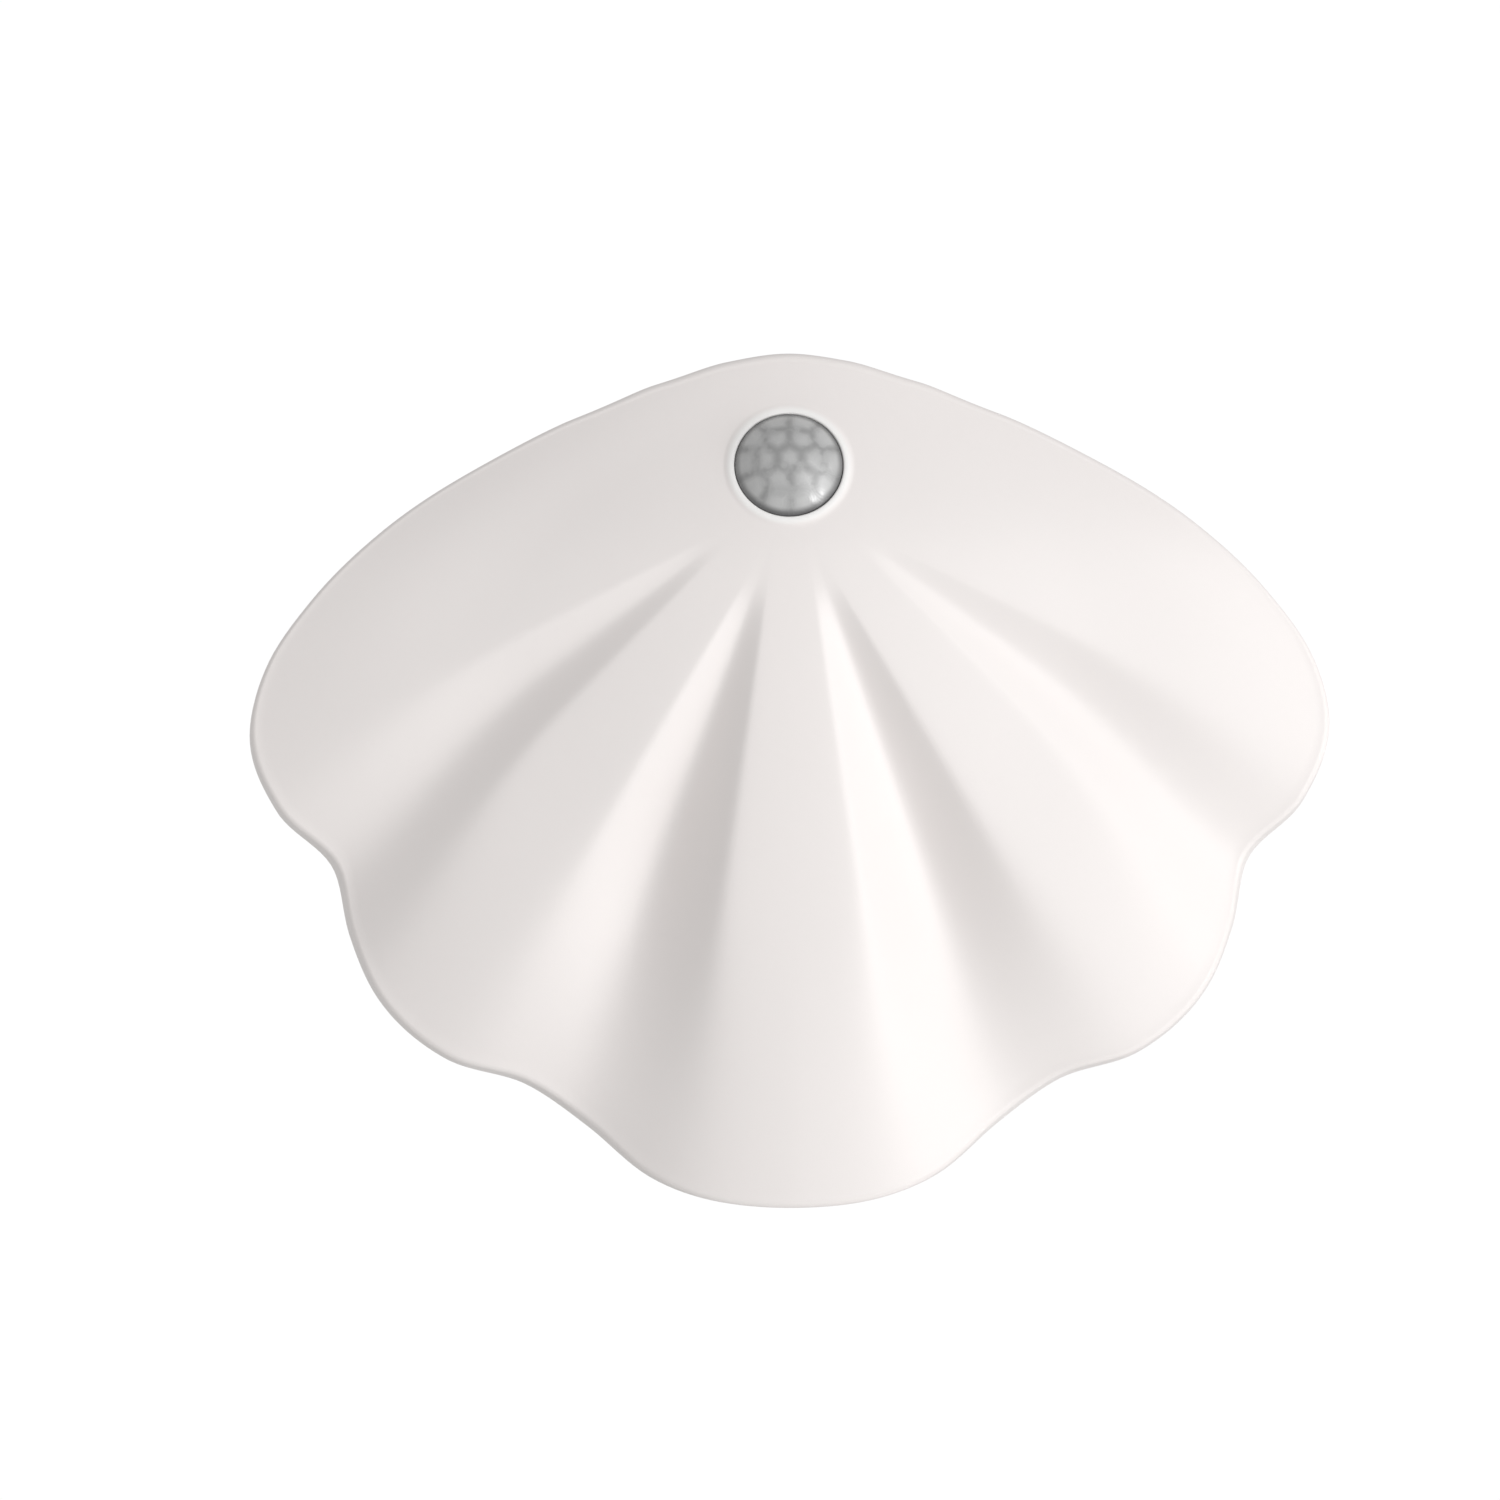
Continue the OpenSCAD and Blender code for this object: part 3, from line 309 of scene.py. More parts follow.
# Light boards: arcs of white-masked board, each with its row of light packages.
# A package is a white frame round a well of yellow phosphor gel.
white_mask = Finish("white_board")
squares = {"Vector": white_mask.place, "Scale": 1800.0}
weave = white_mask.node("ShaderNodeTexChecker", None, squares, "Fac")
speck = white_mask.grain(0.0015, 3.0)
white_mask.surface({
    "Base Color": white_mask.mix(speck, (0.74, 0.74, 0.72), (0.8, 0.8, 0.78)),
    "Roughness": 0.38 + 0.1 * speck,
    "Normal": white_mask.relief(weave, 0.000006),
})
dress(white_mask, "led_board_left", "led_board_right")

phosphor_floor = -0.0128
package = Finish("light_package")
in_well = (package.along("Y") < phosphor_floor) * (package.facing("Y") > 0.5)
gel = package.grain(0.0003, 3.0)
phosphor = package.mix(gel, (0.84, 0.6, 0.08), (0.9, 0.7, 0.16))
package.surface({
    "Base Color": package.mix(in_well, (0.8, 0.79, 0.76), phosphor),
    "Roughness": 0.5 - 0.28 * in_well,
})
dress(package, "led_packages_left", "led_packages_right")

# Circuit boards: glass fibre with a green mask over copper tracks, bare and tan at their cut edges.
# The tracks stand a few hundredths of a millimetre proud under the mask.
green_mask = Finish("green_board")
track_lines = {"feature": "DISTANCE_TO_EDGE", "distance": "CHEBYCHEV"}
track_scale = {"Vector": green_mask.place, "Scale": 620.0}
track_map = green_mask.node("ShaderNodeTexVoronoi", track_lines, track_scale, "Distance")
track = track_map < 0.09
tone = green_mask.grain(0.002, 3.0)
mask_green = green_mask.mix(tone, (0.012, 0.12, 0.045), (0.02, 0.17, 0.07))
tracked = green_mask.mix(track, mask_green, (0.03, 0.27, 0.1))
cut_edge = (abs(green_mask.facing("X")) + abs(green_mask.facing("Z"))) > 0.9
green_mask.surface({
    "Base Color": green_mask.mix(cut_edge, tracked, (0.42, 0.36, 0.2)),
    "Roughness": 0.3 + 0.35 * cut_edge,
    "Normal": green_mask.relief(track, 0.00003),
})
dress(green_mask, "main_board", "pir_board")

# Chip: black moulded resin with tin-plated legs that reach past its two sides.
# Its place on the board tells the legs from the body.
chip_x = -0.002
chip_half = 0.00241
resin = Finish("chip_resin")
leg = abs(resin.along("X") - chip_x) > chip_half
pitted = resin.grain(0.0002, 3.0)
resin.surface({
    "Base Color": resin.mix(leg, (0.022, 0.022, 0.024), (0.62, 0.61, 0.58)),
    "Metallic": leg,
    "Roughness": 0.55 - 0.2 * leg + 0.12 * pitted,
    "Normal": resin.relief(pitted, 0.00001),
})
dress(resin, "control_chip")

# Inductor: a drum of lacquered copper wire between two ferrite flanges.
# The wire's turns show as fine ridges round the drum.
wire_pitch = 0.00028
drum_x = 0.009
drum_z = -0.0161
drum_reach = 0.00215
ferrite = Finish("wound_ferrite")
across = (ferrite.along("X") - drum_x) ** 2 + (ferrite.along("Z") - drum_z) ** 2
wound = (across < drum_reach ** 2) * (abs(ferrite.facing("Y")) < 0.5)
turns = (ferrite.along("Y") * (2 * math.pi / wire_pitch)).wave()
gritty = ferrite.grain(0.0003, 3.0)
ferrite.surface({
    "Base Color": ferrite.mix(wound, (0.035, 0.035, 0.04), (0.6, 0.26, 0.1)),
    "Metallic": wound,
    "Roughness": 0.6 - 0.3 * wound + 0.1 * gritty,
    "Normal": ferrite.relief(turns * wound, 0.00004),
})
dress(ferrite, "power_inductor")

# Capacitors: two drawn aluminium cans, satin, with fine drawing lines down their sides.
# The crimp above each foot holds the rubber seal.
drawn = Finish("drawn_can")
draw_line = drawn.grain(0.00015, 3.0, (1, 0.04, 1))
drawn.surface({
    "Base Color": drawn.mix(draw_line, (0.56, 0.57, 0.6), (0.68, 0.69, 0.71)),
    "Metallic": 1.0,
    "Roughness": 0.26 + 0.14 * draw_line,
    "Normal": drawn.relief(draw_line, 0.000005),
})
dress(drawn, "board_capacitors")

# Battery: a soft foil pouch, slightly wrinkled, with amber tape over its sealed top edge.
# It is stuck to the bay's floor with foam tape.
amber_from = 0.0225
pouch = Finish("foil_pouch")
crease = pouch.grain(0.005, 4.0, rough=0.6)
taped = pouch.along("Z") > amber_from
foil = pouch.mix(crease, (0.5, 0.51, 0.53), (0.63, 0.64, 0.66))
pouch.surface({
    "Base Color": pouch.mix(taped, foil, (0.5, 0.24, 0.03)),
    "Metallic": 1.0 - taped,
    "Roughness": 0.34 + 0.1 * crease,
    "Normal": pouch.relief(crease, 0.00025),
})
dress(pouch, "battery_cell")

# Connector: ivory nylon with a dull moulded surface.
# It takes the two wires of the cell.
nylon = Finish("ivory_nylon")
dull = nylon.grain(0.0003, 3.0)
nylon.surface({
    "Base Color": nylon.mix(dull, (0.74, 0.7, 0.58), (0.8, 0.76, 0.65)),
    "Roughness": 0.4 + 0.15 * dull,
    "Normal": nylon.relief(dull, 0.00001),
})
dress(nylon, "battery_header")

# Wires: soft silicone sleeves, red and black for the cell and the lights, grey for the sensor.
# Their colour follows their side of the pair.
def sleeve(name, dark_side, *names):
    """A soft wire sleeve, dark where dark_side(finish) is 1 and red elsewhere, put on CAD nodes."""
    finish = Finish(name)
    fleck = finish.grain(0.0008, 3.0)
    red = finish.mix(fleck, (0.5, 0.025, 0.02), (0.6, 0.04, 0.03))
    finish.surface({
        "Base Color": finish.mix(dark_side(finish), red, (0.03, 0.03, 0.032)),
        "Roughness": 0.38 + 0.14 * fleck,
        "Normal": finish.relief(fleck, 0.00001),
    })
    dress(finish, *names)


light_pair_z = -0.0145
sleeve("light_wire_sleeve", lambda finish: finish.along("Z") < light_pair_z, "led_leads")

cell_bend_z = (-0.0085, -0.0035)
cell_pair_x = (-0.012, -0.007)


def cell_pair_side(finish):
    """1 on the left wire of the cell's pair, whose middle line moves to the right on its way up."""
    return finish.along("X") < finish.eased(finish.along("Z"), *cell_bend_z, *cell_pair_x)


sleeve("cell_wire_sleeve", cell_pair_side, "battery_leads")

ribbon = Finish("sensor_ribbon_sleeve")
ribbon_fleck = ribbon.grain(0.001, 3.0)
ribbon.surface({
    "Base Color": ribbon.mix(ribbon_fleck, (0.4, 0.4, 0.41), (0.5, 0.5, 0.51)),
    "Roughness": 0.4 + 0.12 * ribbon_fleck,
    "Normal": ribbon.relief(ribbon_fleck, 0.00001),
})
dress(ribbon, "sensor_leads")

# Socket tongue: black nylon with gold contact strips on both faces.
# The strips are half a millimetre apart, as in every socket of this kind.
contact_pitch = 0.0005
socket_x = 0.011
contact_end = -0.0258
tongue = Finish("socket_tongue")
strip_phase = ((tongue.along("X") - socket_x) / contact_pitch) % 1
gold = (strip_phase > 0.5) * (abs(tongue.facing("Y")) > 0.5) * (tongue.along("Z") < contact_end)
tongue.surface({
    "Base Color": tongue.mix(gold, (0.025, 0.025, 0.027), (0.83, 0.6, 0.25)),
    "Metallic": gold,
    "Roughness": 0.45 - 0.2 * gold,
})
dress(tongue, "usb_tongue")

# Switch knob: dark grey moulded nylon with two finger grooves, polished a little by use.
# It slides in the slot beside the charging socket.
knob = Finish("switch_knob")
rub = knob.grain(0.0009, 3.0)
knob.surface({
    "Base Color": knob.mix(rub, (0.055, 0.055, 0.058), (0.085, 0.085, 0.09)),
    "Roughness": 0.36 + 0.2 * rub,
    "Normal": knob.relief(rub, 0.000012),
})
dress(knob, "switch_knob")

# Clear parts: the charge light, the rod that carries it out, and the light sensor's domed cell.
# All are clear epoxy or acrylic with a polished face.
clear = Finish("clear_resin")
clear_cloud = clear.grain(0.0006, 2.0)
clear.surface({
    "Base Color": clear.mix(clear_cloud, (0.84, 0.85, 0.82), (0.9, 0.9, 0.88)),
    "Roughness": 0.06 + 0.06 * clear_cloud,
    "Transmission Weight": 0.6,
    "IOR": 1.5,
})
dress(clear, "charge_led", "charge_light_pipe", "light_sensor")

# Sensor can: a drawn steel cap with a dark silicon window, on the round board behind the lens.
# The window passes body heat and looks almost black.
can = Finish("sensor_can")
can_line = can.grain(0.0002, 3.0, (1, 1, 0.05))
can.surface({
    "Base Color": can.mix(can_line, (0.66, 0.63, 0.57), (0.75, 0.73, 0.68)),
    "Metallic": 1.0,
    "Roughness": 0.2 + 0.12 * can_line,
    "Normal": can.relief(can_line, 0.000004),
})
dress(can, "pir_sensor")

dark_glass = Finish("dark_filter")
tint = dark_glass.grain(0.0005, 2.0)
dark_glass.surface({
    "Base Color": dark_glass.mix(tint, (0.02, 0.015, 0.03), (0.04, 0.03, 0.05)),
    "Roughness": 0.05 + 0.05 * tint,
})
dress(dark_glass, "pir_window")


# Screws: zinc-plated, pan-headed, with a cross recess and a rolled thread.
# Four hold the rear cover, four the shade, two the main board and two the sensor cup.
def skin(name, sheets, crease=32):
    """One mesh from grids of points in millimetres: neighbours on a grid make its faces, each grid
    closes round its columns, points that meet become one, and edges past crease degrees stay sharp."""
    points, faces, first = [], [], 0
    for sheet in sheets:
        rows, columns = sheet.shape[:2]
        index = first + np.arange(rows * columns).reshape(rows, columns)
        beside = np.roll(index, -1, axis=1)
        faces.append(np.stack([index[:-1], beside[:-1], beside[1:], index[1:]], -1).reshape(-1, 4))
        points.append(sheet.reshape(-1, 3))
        first += rows * columns
    mesh = bpy.data.meshes.new(name)
    mesh.from_pydata(np.concatenate(points) / 1000, [], np.concatenate(faces).tolist())
    work = bmesh.new()
    work.from_mesh(mesh)
    bmesh.ops.remove_doubles(work, verts=work.verts, dist=2e-7)
    bmesh.ops.recalc_face_normals(work, faces=work.faces)
    work.to_mesh(mesh)
    work.free()
    mesh.validate()
    mesh.shade_smooth()
    mesh.set_sharp_from_angle(angle=math.radians(crease))
    return mesh


def piece(name, mesh, finish, body, slot, *nodes):
    """Puts a mesh in the scene with its finish, riding on its body, in place of CAD nodes."""
    made = bpy.data.objects.new(name, mesh)
    bpy.context.scene.collection.objects.link(made)
    mesh.materials.append(finish.material)
    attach(made, body)
    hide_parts(*nodes)
    return made


def stand(points, centre, lean=0.0):
    """Moves points from an axis along +Z at the origin to one that leaves centre away from the
    wall, leaning up by lean degrees."""
    x, y, z = np.moveaxis(points, -1, 0)
    sine, cosine = math.sin(math.radians(lean)), math.cos(math.radians(lean))
    turned = np.stack([x, y * sine - z * cosine, y * cosine + z * sine], -1)
    return turned + np.array(centre)


def smooth(value):
    """Eases from 0 to 1 as value runs from 0 to 1, flat at both ends."""
    held = np.clip(value, 0, 1)
    return held * held * (3 - 2 * held)


def screw(head_r, head_t, shank_r, length, sides=64):
    """A pan head, a cross recess and a thread, head up along +Z: the head's height follows the root
    of one less the fourth power of the way out, the recess sinks where either arm is near, and the
    shank's radius follows a triangle wave along a helix."""
    turn = np.linspace(0, 2 * np.pi, sides, endpoint=False)
    share = np.concatenate([np.linspace(0, 0.7, 15), np.linspace(0.74, 1, 9)])[:, None]
    radius = head_r * share
    x, y = radius * np.cos(turn), radius * np.sin(turn)
    arm = 0.17 * head_r * (1.15 - share)
    near = np.minimum(np.abs(x), np.abs(y))
    sunk = smooth((arm - near) / (0.05 * head_r) + 0.5) * smooth((0.62 - share) / 0.08 + 0.5)
    crown = head_t * (0.35 + 0.65 * (1 - share ** 4) ** 0.5)
    head = np.stack([x, y, crown - sunk * 0.62 * head_t * (1 - share)], -1)
    pitch = 0.42 * shank_r + 0.15
    depth = 0.14 * shank_r
    steps = np.linspace(0, 1, 12 * int(length / pitch) + 1)[:, None]
    along = -length * steps
    phase = (along / pitch + turn / (2 * np.pi)) % 1
    wave = np.abs(2 * phase - 1) * smooth(steps / 0.06) * smooth((1 - steps) / 0.04)
    body = (shank_r - depth * wave) * np.clip((1 - steps) / 0.1, 0.35, 1)
    shank = np.stack([body * np.cos(turn), body * np.sin(turn), along + 0 * turn], -1)
    flat = np.stack([head_r * np.cos(turn), head_r * np.sin(turn), 0 * turn], -1)[None]
    tip = np.stack([0 * turn, 0 * turn, 0 * turn - length], -1)[None]
    return np.concatenate([head, flat, shank, tip])


zinc = Finish("zinc_plated_screw")
zinc_cloud = zinc.grain(0.0012, 3.0)
zinc_line = zinc.grain(0.00012, 2.0)
zinc.surface({
    "Base Color": zinc.mix(zinc_cloud, (0.47, 0.48, 0.5), (0.62, 0.62, 0.61)),
    "Metallic": 1.0,
    "Roughness": 0.26 + 0.1 * zinc_cloud + 0.08 * zinc_line,
    "Normal": zinc.relief(zinc_line, 0.000003),
})


def screws(name, form, places, node, lean=0.0):
    """Puts a screw at each place, which lies under its head, with the head towards the wall."""
    one = screw(**form) * np.array([1, -1, -1])
    mesh = skin(name, [stand(one, place, lean) for place in places])
    piece(name, mesh, zinc, "lamp", "screw_steel", node)


cover_places = [(x * 26.5, -5, z * 25.5) for x in (-1, 1) for z in (-1, 1)]
cover_form = dict(head_r=2.5, head_t=0.9, shank_r=1.2, length=8)
screws("cover_screws_turned", cover_form, cover_places, "cover_screws")
shell_places = [(x * 40, -15.5, z * 12) for x in (-1, 1) for z in (-1, 1)]
shell_form = dict(head_r=2.5, head_t=1.6, shank_r=1.2, length=7.5)
screws("shell_screws_turned", shell_form, shell_places, "shell_screws")
board_places = [(x * 18, -12.3, -20.6) for x in (-1, 1)]
board_form = dict(head_r=1.9, head_t=1.2, shank_r=0.9, length=3)
screws("board_screws_turned", board_form, board_places, "board_screws")

# Lens: grey translucent moulding, a shallow ball cap with a flange behind the shade's collar.
# Its outside is raised into soft cells, one in the middle, then a ring of six and a ring of ten,
# each with faint rings of its own. Its colour carries painted shade along the seams between cells
# and round its edge, heavier towards the bottom, and a painted highlight in each cell's middle.
face_out = 34.8313
hub_rise = 32.0
lens_rise = 3.7
lens_fall = 3.114
lens_lean = 16.846
lens_centre = (0, lens_fall - face_out, hub_rise + lens_rise)
lens_r = 7.8
lens_dome = 3.4
lens_wall = 1.0
collar_r = lens_r + 1.55
collar_depth = 2.2
flange_back = collar_depth + lens_wall
ball = (lens_r ** 2 + lens_dome ** 2) / (2 * lens_dome)
ear_out, ear_back = 13.15, 6.6

cup_places = [stand(np.array([x * ear_out, 0, -ear_back]), lens_centre, lens_lean) for x in (-1, 1)]
cup_form = dict(head_r=1.9, head_t=1.2, shank_r=0.9, length=4)
screws("retainer_screws_turned", cup_form, cup_places, "retainer_screws", lens_lean)

cell_rings = [(0.0, 1), (18.5, 6), (36.0, 10)]
cell_steps = np.concatenate([
    np.stack([np.full(count, lean), 360 / count * np.arange(count)], -1)
    for lean, count in cell_rings])
lean_of, turn_of = np.radians(cell_steps).T
cell_axes = np.stack([
    np.sin(lean_of) * np.cos(turn_of), np.sin(lean_of) * np.sin(turn_of), np.cos(lean_of)], -1)
cushion_rise, seam_run, brim_run, dome_sink = 0.09, 0.55, 0.15, 0.12


def cells_at(x, y):
    """Height above the lens flat of each cell's plane, which touches the ball over its centre."""
    ax, ay, az = cell_axes.T
    return (ball - ax * x[..., None] - ay * y[..., None]) / az - (ball - lens_dome)


def dome_height(x, y):
    """The ball cap with each cell raised as a soft cushion: flat on top, falling to its seams."""
    cap = np.sqrt(ball ** 2 - np.minimum(x * x + y * y, lens_r ** 2)) - (ball - lens_dome)
    planes = np.sort(cells_at(x, y), axis=-1)
    from_seam = smooth((planes[..., 1] - planes[..., 0]) / seam_run)
    from_brim = smooth((1 - np.sqrt(x * x + y * y) / lens_r) / brim_run)
    return cap + cushion_rise * from_seam * from_brim - dome_sink


def turned(profile, sides=96):
    """A section of radius and height turned round +Z."""
    turn = np.linspace(0, 2 * np.pi, sides, endpoint=False)
    radius, height = np.array(profile, dtype=float).T[:, :, None]
    return np.stack([radius * np.cos(turn), radius * np.sin(turn), height + 0 * turn], -1)


def lens_sheet(sides=240):
    """Closed section of the lens round its axis: flange, dome outside, then the ball cap inside."""
    turn = np.linspace(0, 2 * np.pi, sides, endpoint=False)
    out = lens_r * np.concatenate([[1.0], np.linspace(0.995, 0, 110)])[:, None]
    x, y = out * np.cos(turn), out * np.sin(turn)
    dome = np.stack([x, y, dome_height(x, y)], -1)
    inner_r = lens_r - lens_wall
    inner_ball = ball - lens_wall
    in_r = inner_r * np.linspace(0, 1, 28)[:, None]
    cap = np.sqrt(inner_ball ** 2 - in_r ** 2) - (ball - lens_dome)
    inside = np.stack([in_r * np.cos(turn), in_r * np.sin(turn), cap + 0 * turn], -1)
    flange = turned([
        (inner_r, -flange_back), (collar_r, -flange_back),
        (collar_r, -collar_depth), (lens_r, -collar_depth),
    ], sides)
    return np.concatenate([flange, dome, inside, flange[:1]])


lens_mesh = skin("sensor_lens", [stand(lens_sheet(), lens_centre, lens_lean)], 40)
corner = np.empty(len(lens_mesh.vertices) * 3)
lens_mesh.vertices.foreach_get("co", corner)
back = corner.reshape(-1, 3) * 1000 - np.array(lens_centre)
tilt = math.radians(lens_lean)
lens_x, lens_y = back[:, 0], back[:, 1] * math.sin(tilt) + back[:, 2] * math.cos(tilt)
planes_here = np.sort(cells_at(lens_x, lens_y), axis=-1)
nearest = cell_axes[cells_at(lens_x, lens_y).argmin(axis=-1)]
from_centre = np.hypot(lens_x - ball * nearest[:, 0], lens_y - ball * nearest[:, 1])
at_edge = np.hypot(lens_x, lens_y) / lens_r
measures = {"ring": from_centre, "seam": planes_here[:, 1] - planes_here[:, 0], "edge": at_edge}
for name, values in measures.items():
    measure = lens_mesh.attributes.new(name, "FLOAT", "POINT")
    measure.data.foreach_set("value", values.astype(np.float32))

ring_pitch = 0.42
lens_grey = Finish("grey_lens")
ring_at, seam_at, edge_at = [
    lens_grey.node("ShaderNodeAttribute", {"attribute_name": name}, None, "Fac")
    for name in measures]
rings = (ring_at * (2 * math.pi / ring_pitch)).wave()
cloud = lens_grey.grain(0.0022, 2.0)
# Painted shade: the colour darkens along the seams between the cells.
painted_seam_shade = lens_grey.eased(seam_at, 0.5, 0.0) * lens_grey.eased(cloud, 0.35, 0.6)
# Painted highlight: the colour lightens towards each cell's middle.
painted_cell_light = lens_grey.eased(ring_at, 2.6, 0.4)
lens_z = lens_centre[2] / 1000
# Painted shade round the lens edge, made heavier towards the bottom.
low = lens_grey.eased(lens_grey.along("Z"), lens_z, lens_z - 0.007)
painted_brim_shade = lens_grey.eased(edge_at, 0.87, 0.98) * (0.7 + 0.3 * low)
painted_lens_shade = painted_seam_shade * 0.42 + painted_brim_shade * 0.95 - painted_seam_shade * painted_brim_shade * 0.4
body_grey = lens_grey.mix(cloud * 0.6 + painted_cell_light * 0.4, (0.36, 0.362, 0.362), (0.56, 0.562, 0.562))
lens_grey.surface({
    "Base Color": lens_grey.mix(painted_lens_shade, body_grey, (0.1, 0.1, 0.102)),
    "Roughness": 0.2 + 0.1 * cloud + 0.12 * painted_seam_shade,
    "Normal": lens_grey.relief(rings, 0.000003),
    "Coat Weight": 1.0,
    "Coat Roughness": 0.3,
})
piece("sensor_lens", lens_mesh, lens_grey, "lamp", "lens_plastic", "pir_lens")

# Shade: one injection moulding in warm white plastic, screwed to the housing from behind.
# Its face is a single surface with four pleats, rolled over at the rim into a skirt, and raised to
# a lip round the lens, painted lighter round the hole as a ring of painted highlight.
rim_knots = np.array([
    [0, 105.7], [12, 103.2], [18, 98.3], [24.5, 95.6], [32, 97.8], [40, 96.2],
    [45.5, 92.2], [51, 87.4], [59, 89.2], [67, 87.3], [72.5, 81.4], [78, 72.5],
    [85, 61], [95, 46.8], [110, 33.9], [130, 25.9], [155, 22.1], [180, 21.3],
])
inner_pleat = dict(centre=19.8, drift=-0.4, before=9.8, after=9.6, fade=0.65, depth=7.4)
outer_pleat = dict(centre=54.1, drift=-3.6, before=7.6, after=8.2, fade=0.4, depth=3.3)
fan_start, pleat_start, tip_round, settle = 6.0, 15.5, 0.8, 5.5
face_up, face_down = math.tan(math.radians(19)), math.tan(math.radians(7.5))
crest_rise, crest_round = -8.0, 8.0
wing_slope, spine_round = math.tan(math.radians(12.5)), 25.0
lobe_droop = 3.0
shade_wall, rim_roll, rim_inset, rim_ease, skirt_gap = 2.0, 1.2, 1.0, 0.04, 10.0


def rim_distance(turn):
    """Hub to rim, turn degrees round from straight down: a cubic through the knots, each slope the
    mean of those on its two sides, weighted by the other side's span, and flat at both ends."""
    angle, reach = rim_knots.T
    span = np.diff(angle)
    rise = np.diff(reach) / span
    slope = np.zeros(len(angle))
    slope[1:-1] = (span[1:] * rise[:-1] + span[:-1] * rise[1:]) / (span[1:] + span[:-1])
    i = np.clip(np.searchsorted(angle, turn, side="right") - 1, 0, len(span) - 1)
    t = (turn - angle[i]) / span[i]
    start = reach[i] * (1 + 2 * t) * (1 - t) ** 2 + span[i] * slope[i] * t * (1 - t) ** 2
    return start + reach[i + 1] * t ** 2 * (3 - 2 * t) + span[i] * slope[i + 1] * t ** 2 * (t - 1)


def bend(across, round_by):
    """Two slopes of 1 joined by a hyperbola: 0 in the middle, rounder with a larger round_by."""
    return np.sqrt(across ** 2 + round_by ** 2) - round_by


def steepness(reach):
    """Share of a pleat's full steepness: near 0 before its tip, then rising fast towards 1."""
    run = ((reach - pleat_start) + np.hypot(reach - pleat_start, 2 * tip_round)) / 2
    return run / (run + settle)


def pleat(turn, reach, share, centre, drift, before, after, fade, depth):
    """Depth of a pleat: a fan from a point under the lens, steep from its tip on and fading towards
    the rim, its section a valley with a rounded floor and rounded shoulders."""
    late = smooth((share - 0.49) / 0.51)
    off = turn - (centre + drift * late)
    measured = 0.6 * rim_distance(np.array([centre]))[0]
    width = np.maximum(reach - fan_start, 1) / (measured - fan_start)
    x = off / np.where(off < 0, before, after) * reach / (measured * width)
    floor_round = 0.24 + 0.14 * late
    shoulder = 0.11 + 0.45 * late
    valley = 1 - bend(x, floor_round) / bend(np.ones_like(x), floor_round)
    section = (valley + np.sqrt(valley ** 2 + shoulder ** 2) - shoulder) / 2
    return depth * width * steepness(reach) / steepness(measured) * (1 - fade * late) * section


slope_mean, slope_skew = (face_up + face_down) / 2, (face_up - face_down) / 2


def face_fall(x, z):
    """How far the face lies behind its foremost point: the spine's bend, the fall to the wings, the
    droop of the lower lobes and the pleats."""
    turn, reach = np.degrees(np.arctan2(np.abs(x), -z)), np.hypot(x, z)
    share = np.minimum(reach / rim_distance(turn), 1)
    t = z - crest_rise
    spine = slope_mean * bend(t, crest_round) + slope_skew * t
    spine = spine + crest_round * (slope_mean - math.sqrt(face_up * face_down))
    droop = lobe_droop * share ** 3 * (1 + np.cos(np.radians(turn))) / 2
    pleats = pleat(turn, reach, share, **inner_pleat) + pleat(turn, reach, share, **outer_pleat)
    return spine + wing_slope * bend(x, spine_round) + droop + pleats


lean_run = math.cos(math.radians(lens_lean))
lip_in, lip_rise, lip_run = lens_r + 0.5, 0.2, 1.3
hole_r = lip_in - 0.1


def lip_fall(x, z, fall):
    """The face raised to a lip round the lens: level with its flat up to lip_in, then eased back."""
    across = np.hypot(x, (z - lens_rise) / lean_run)
    flat = lens_fall + (z - lens_rise) * math.tan(math.radians(lens_lean)) - lip_rise
    back = smooth((across - lip_in) / lip_run)
    return flat * (1 - back) + fall * back


def hole_edge(turn):
    """Hub to the lens hole in direction turn: the far root of the circle on the leaning flat."""
    c = -np.cos(turn)
    m = np.sin(turn) ** 2 + (c / lean_run) ** 2
    n = -c * lens_rise / lean_run ** 2
    q = (lens_rise / lean_run) ** 2 - hole_r ** 2
    return (-n + np.sqrt(n * n - m * q)) / m


def at(turn, reach, out):
    """Points that far from the hub in direction turn, and that far off the wall."""
    return np.stack([reach * np.sin(turn), -out + 0 * turn, hub_rise - reach * np.cos(turn)], -1)


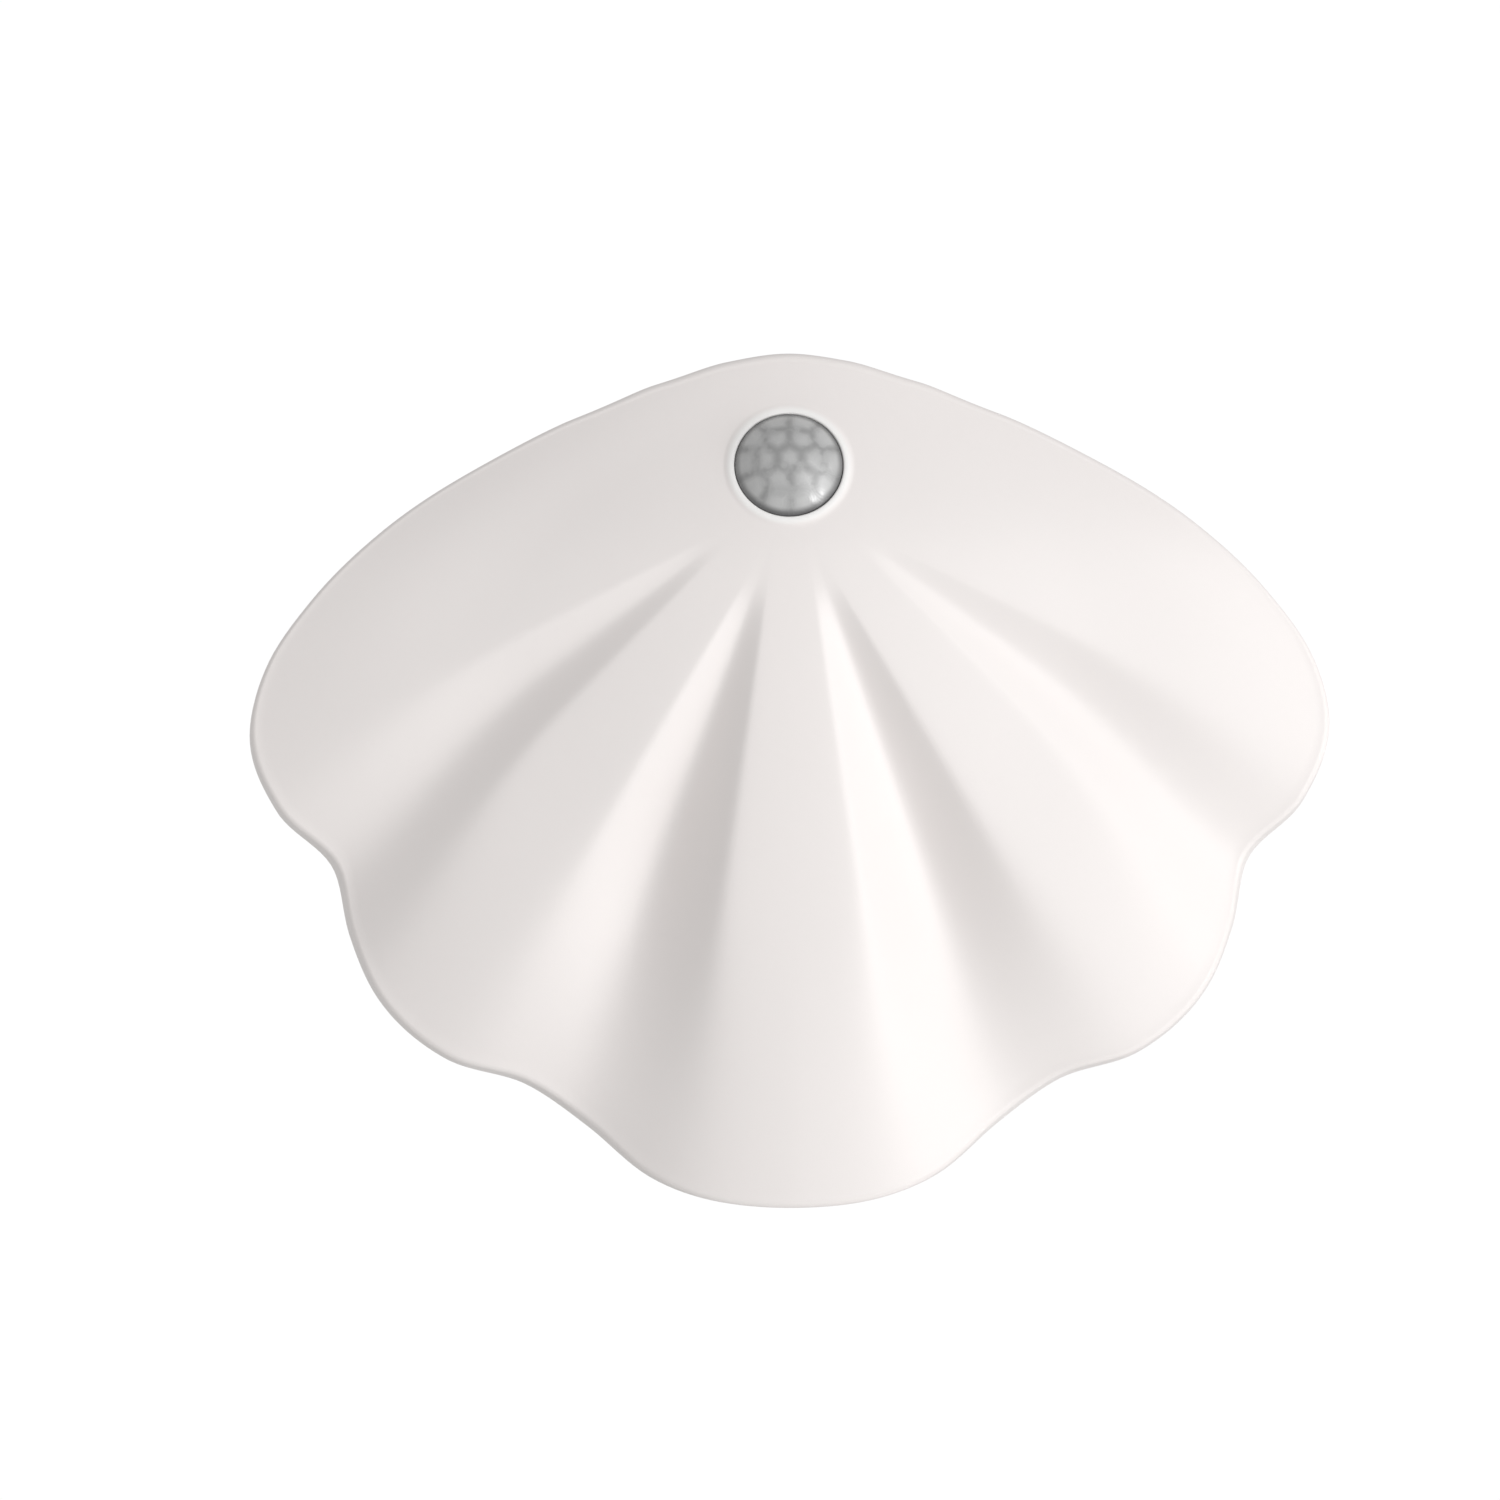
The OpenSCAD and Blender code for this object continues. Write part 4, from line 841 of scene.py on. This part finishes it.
def shade_sheet(sides=480):
    """Closed section of the shade in each direction round the hub: face, roll, skirt, lip, inside."""
    turn = np.radians(np.linspace(0, 360, sides, endpoint=False))
    rim = rim_distance(np.degrees(np.minimum(turn, 2 * np.pi - turn))) - rim_ease
    front = rim - rim_inset
    top = front - rim_roll
    start = hole_edge(turn)

    def face_rows(shares, last, behind):
        reach = start + (last - start) * shares[:, None] ** 1.5
        x, z = reach * np.sin(turn), -reach * np.cos(turn)
        fall = lip_fall(x, z, face_fall(x, z))
        return at(turn, reach, face_out - fall - behind)

    rim_out = face_out - face_fall(top * np.sin(turn), -top * np.cos(turn))
    quarter = np.linspace(0, np.pi / 2, 9)[1:, None]
    roll = at(turn, top + rim_roll * np.sin(quarter), rim_out - rim_roll * (1 - np.cos(quarter)))
    down = np.linspace(0, 1, 8)[1:-1, None]
    lip_r = 0.45
    skirt_top = rim_out - rim_roll
    skirt_end = skirt_gap + lip_r
    skirt = at(turn, front + (rim - front) * down, skirt_top + (skirt_end - skirt_top) * down)
    lip = at(turn, rim - lip_r * (1 - np.cos(quarter)), skirt_gap + lip_r * (1 - np.sin(quarter)))
    back_in = rim - shade_wall + lip_r * (1 - np.sin(quarter))
    back_lip = at(turn, back_in, skirt_gap + lip_r * (1 - np.cos(quarter)))
    outer = face_rows(np.linspace(0, 1, 100), top, 0)
    inner = face_rows(np.linspace(1, 0, 60), front - shade_wall, shade_wall)
    return np.concatenate([outer, roll, skirt, lip, back_lip, inner, outer[:1]])


collar_in = lens_r + 0.1
collar = turned([
    (collar_in, -collar_depth), (collar_in, -0.1), (collar_in + 0.03, 0.03),
    (collar_in + 0.09, 0.12), (collar_in + 0.18, 0.18), (collar_in + 0.3, 0.195),
    (collar_in + 0.5, 0.1), (collar_in + 0.9, -0.6), (collar_r, -0.9),
    (collar_r, -collar_depth), (collar_in, -collar_depth),
], 192)
ear_post = turned([(0.95, -5), (2.4, -5), (2.5, -1), (0.95, -1), (0.95, -5)], 64)
inside = [stand(collar, lens_centre, lens_lean)]
inside += [stand(ear_post + np.array([x * ear_out, 0, 0]), lens_centre, lens_lean) for x in (-1, 1)]
post_r, post_bore, post_end, bore_end = 3, 1.25, 17.5, 23.2
clock = np.radians(np.arange(0, 360, 30))
for x, _, z in shell_places:
    edge_x, edge_z = x + post_r * np.cos(clock), z - hub_rise + post_r * np.sin(clock)
    far = face_out - face_fall(edge_x, edge_z).max() - 0.4 * shade_wall
    post = turned([
        (post_bore, post_end), (post_r - 0.25, post_end), (post_r, post_end + 0.4), (post_r, far),
        (0, far), (0, bore_end), (post_bore, bore_end), (post_bore, post_end),
    ], 64)
    inside.append(stand(post, (x, 0, z)))

warm_white = Finish("warm_white_shade")
fine_spark = warm_white.grain(0.00025, 2.0)
melt = warm_white.grain(0.05, 2.0)
up_flat = (warm_white.along("Z") - lens_z) / lean_run
lens_across = (warm_white.along("X") ** 2 + up_flat ** 2) ** 0.5
# Painted highlight: the colour is lighter in a ring round the lens hole.
ring_highlight_end, ring_highlight_full = 0.0094, 0.0084
painted_ring_highlight = warm_white.eased(lens_across, ring_highlight_end, ring_highlight_full)
cream = warm_white.mix(melt, (0.865, 0.824, 0.81), (0.885, 0.844, 0.83))
warm_white.surface({
    "Base Color": warm_white.mix(painted_ring_highlight, cream, (0.96, 0.95, 0.94)),
    "Roughness": 0.4 + 0.08 * melt + 0.06 * fine_spark,
    "Normal": warm_white.relief(fine_spark, 0.000006),
})
shade_mesh = skin("shade", [shade_sheet(), *inside])
piece("shade", shade_mesh, warm_white, "lamp", "shade_plastic", "shell_cover")
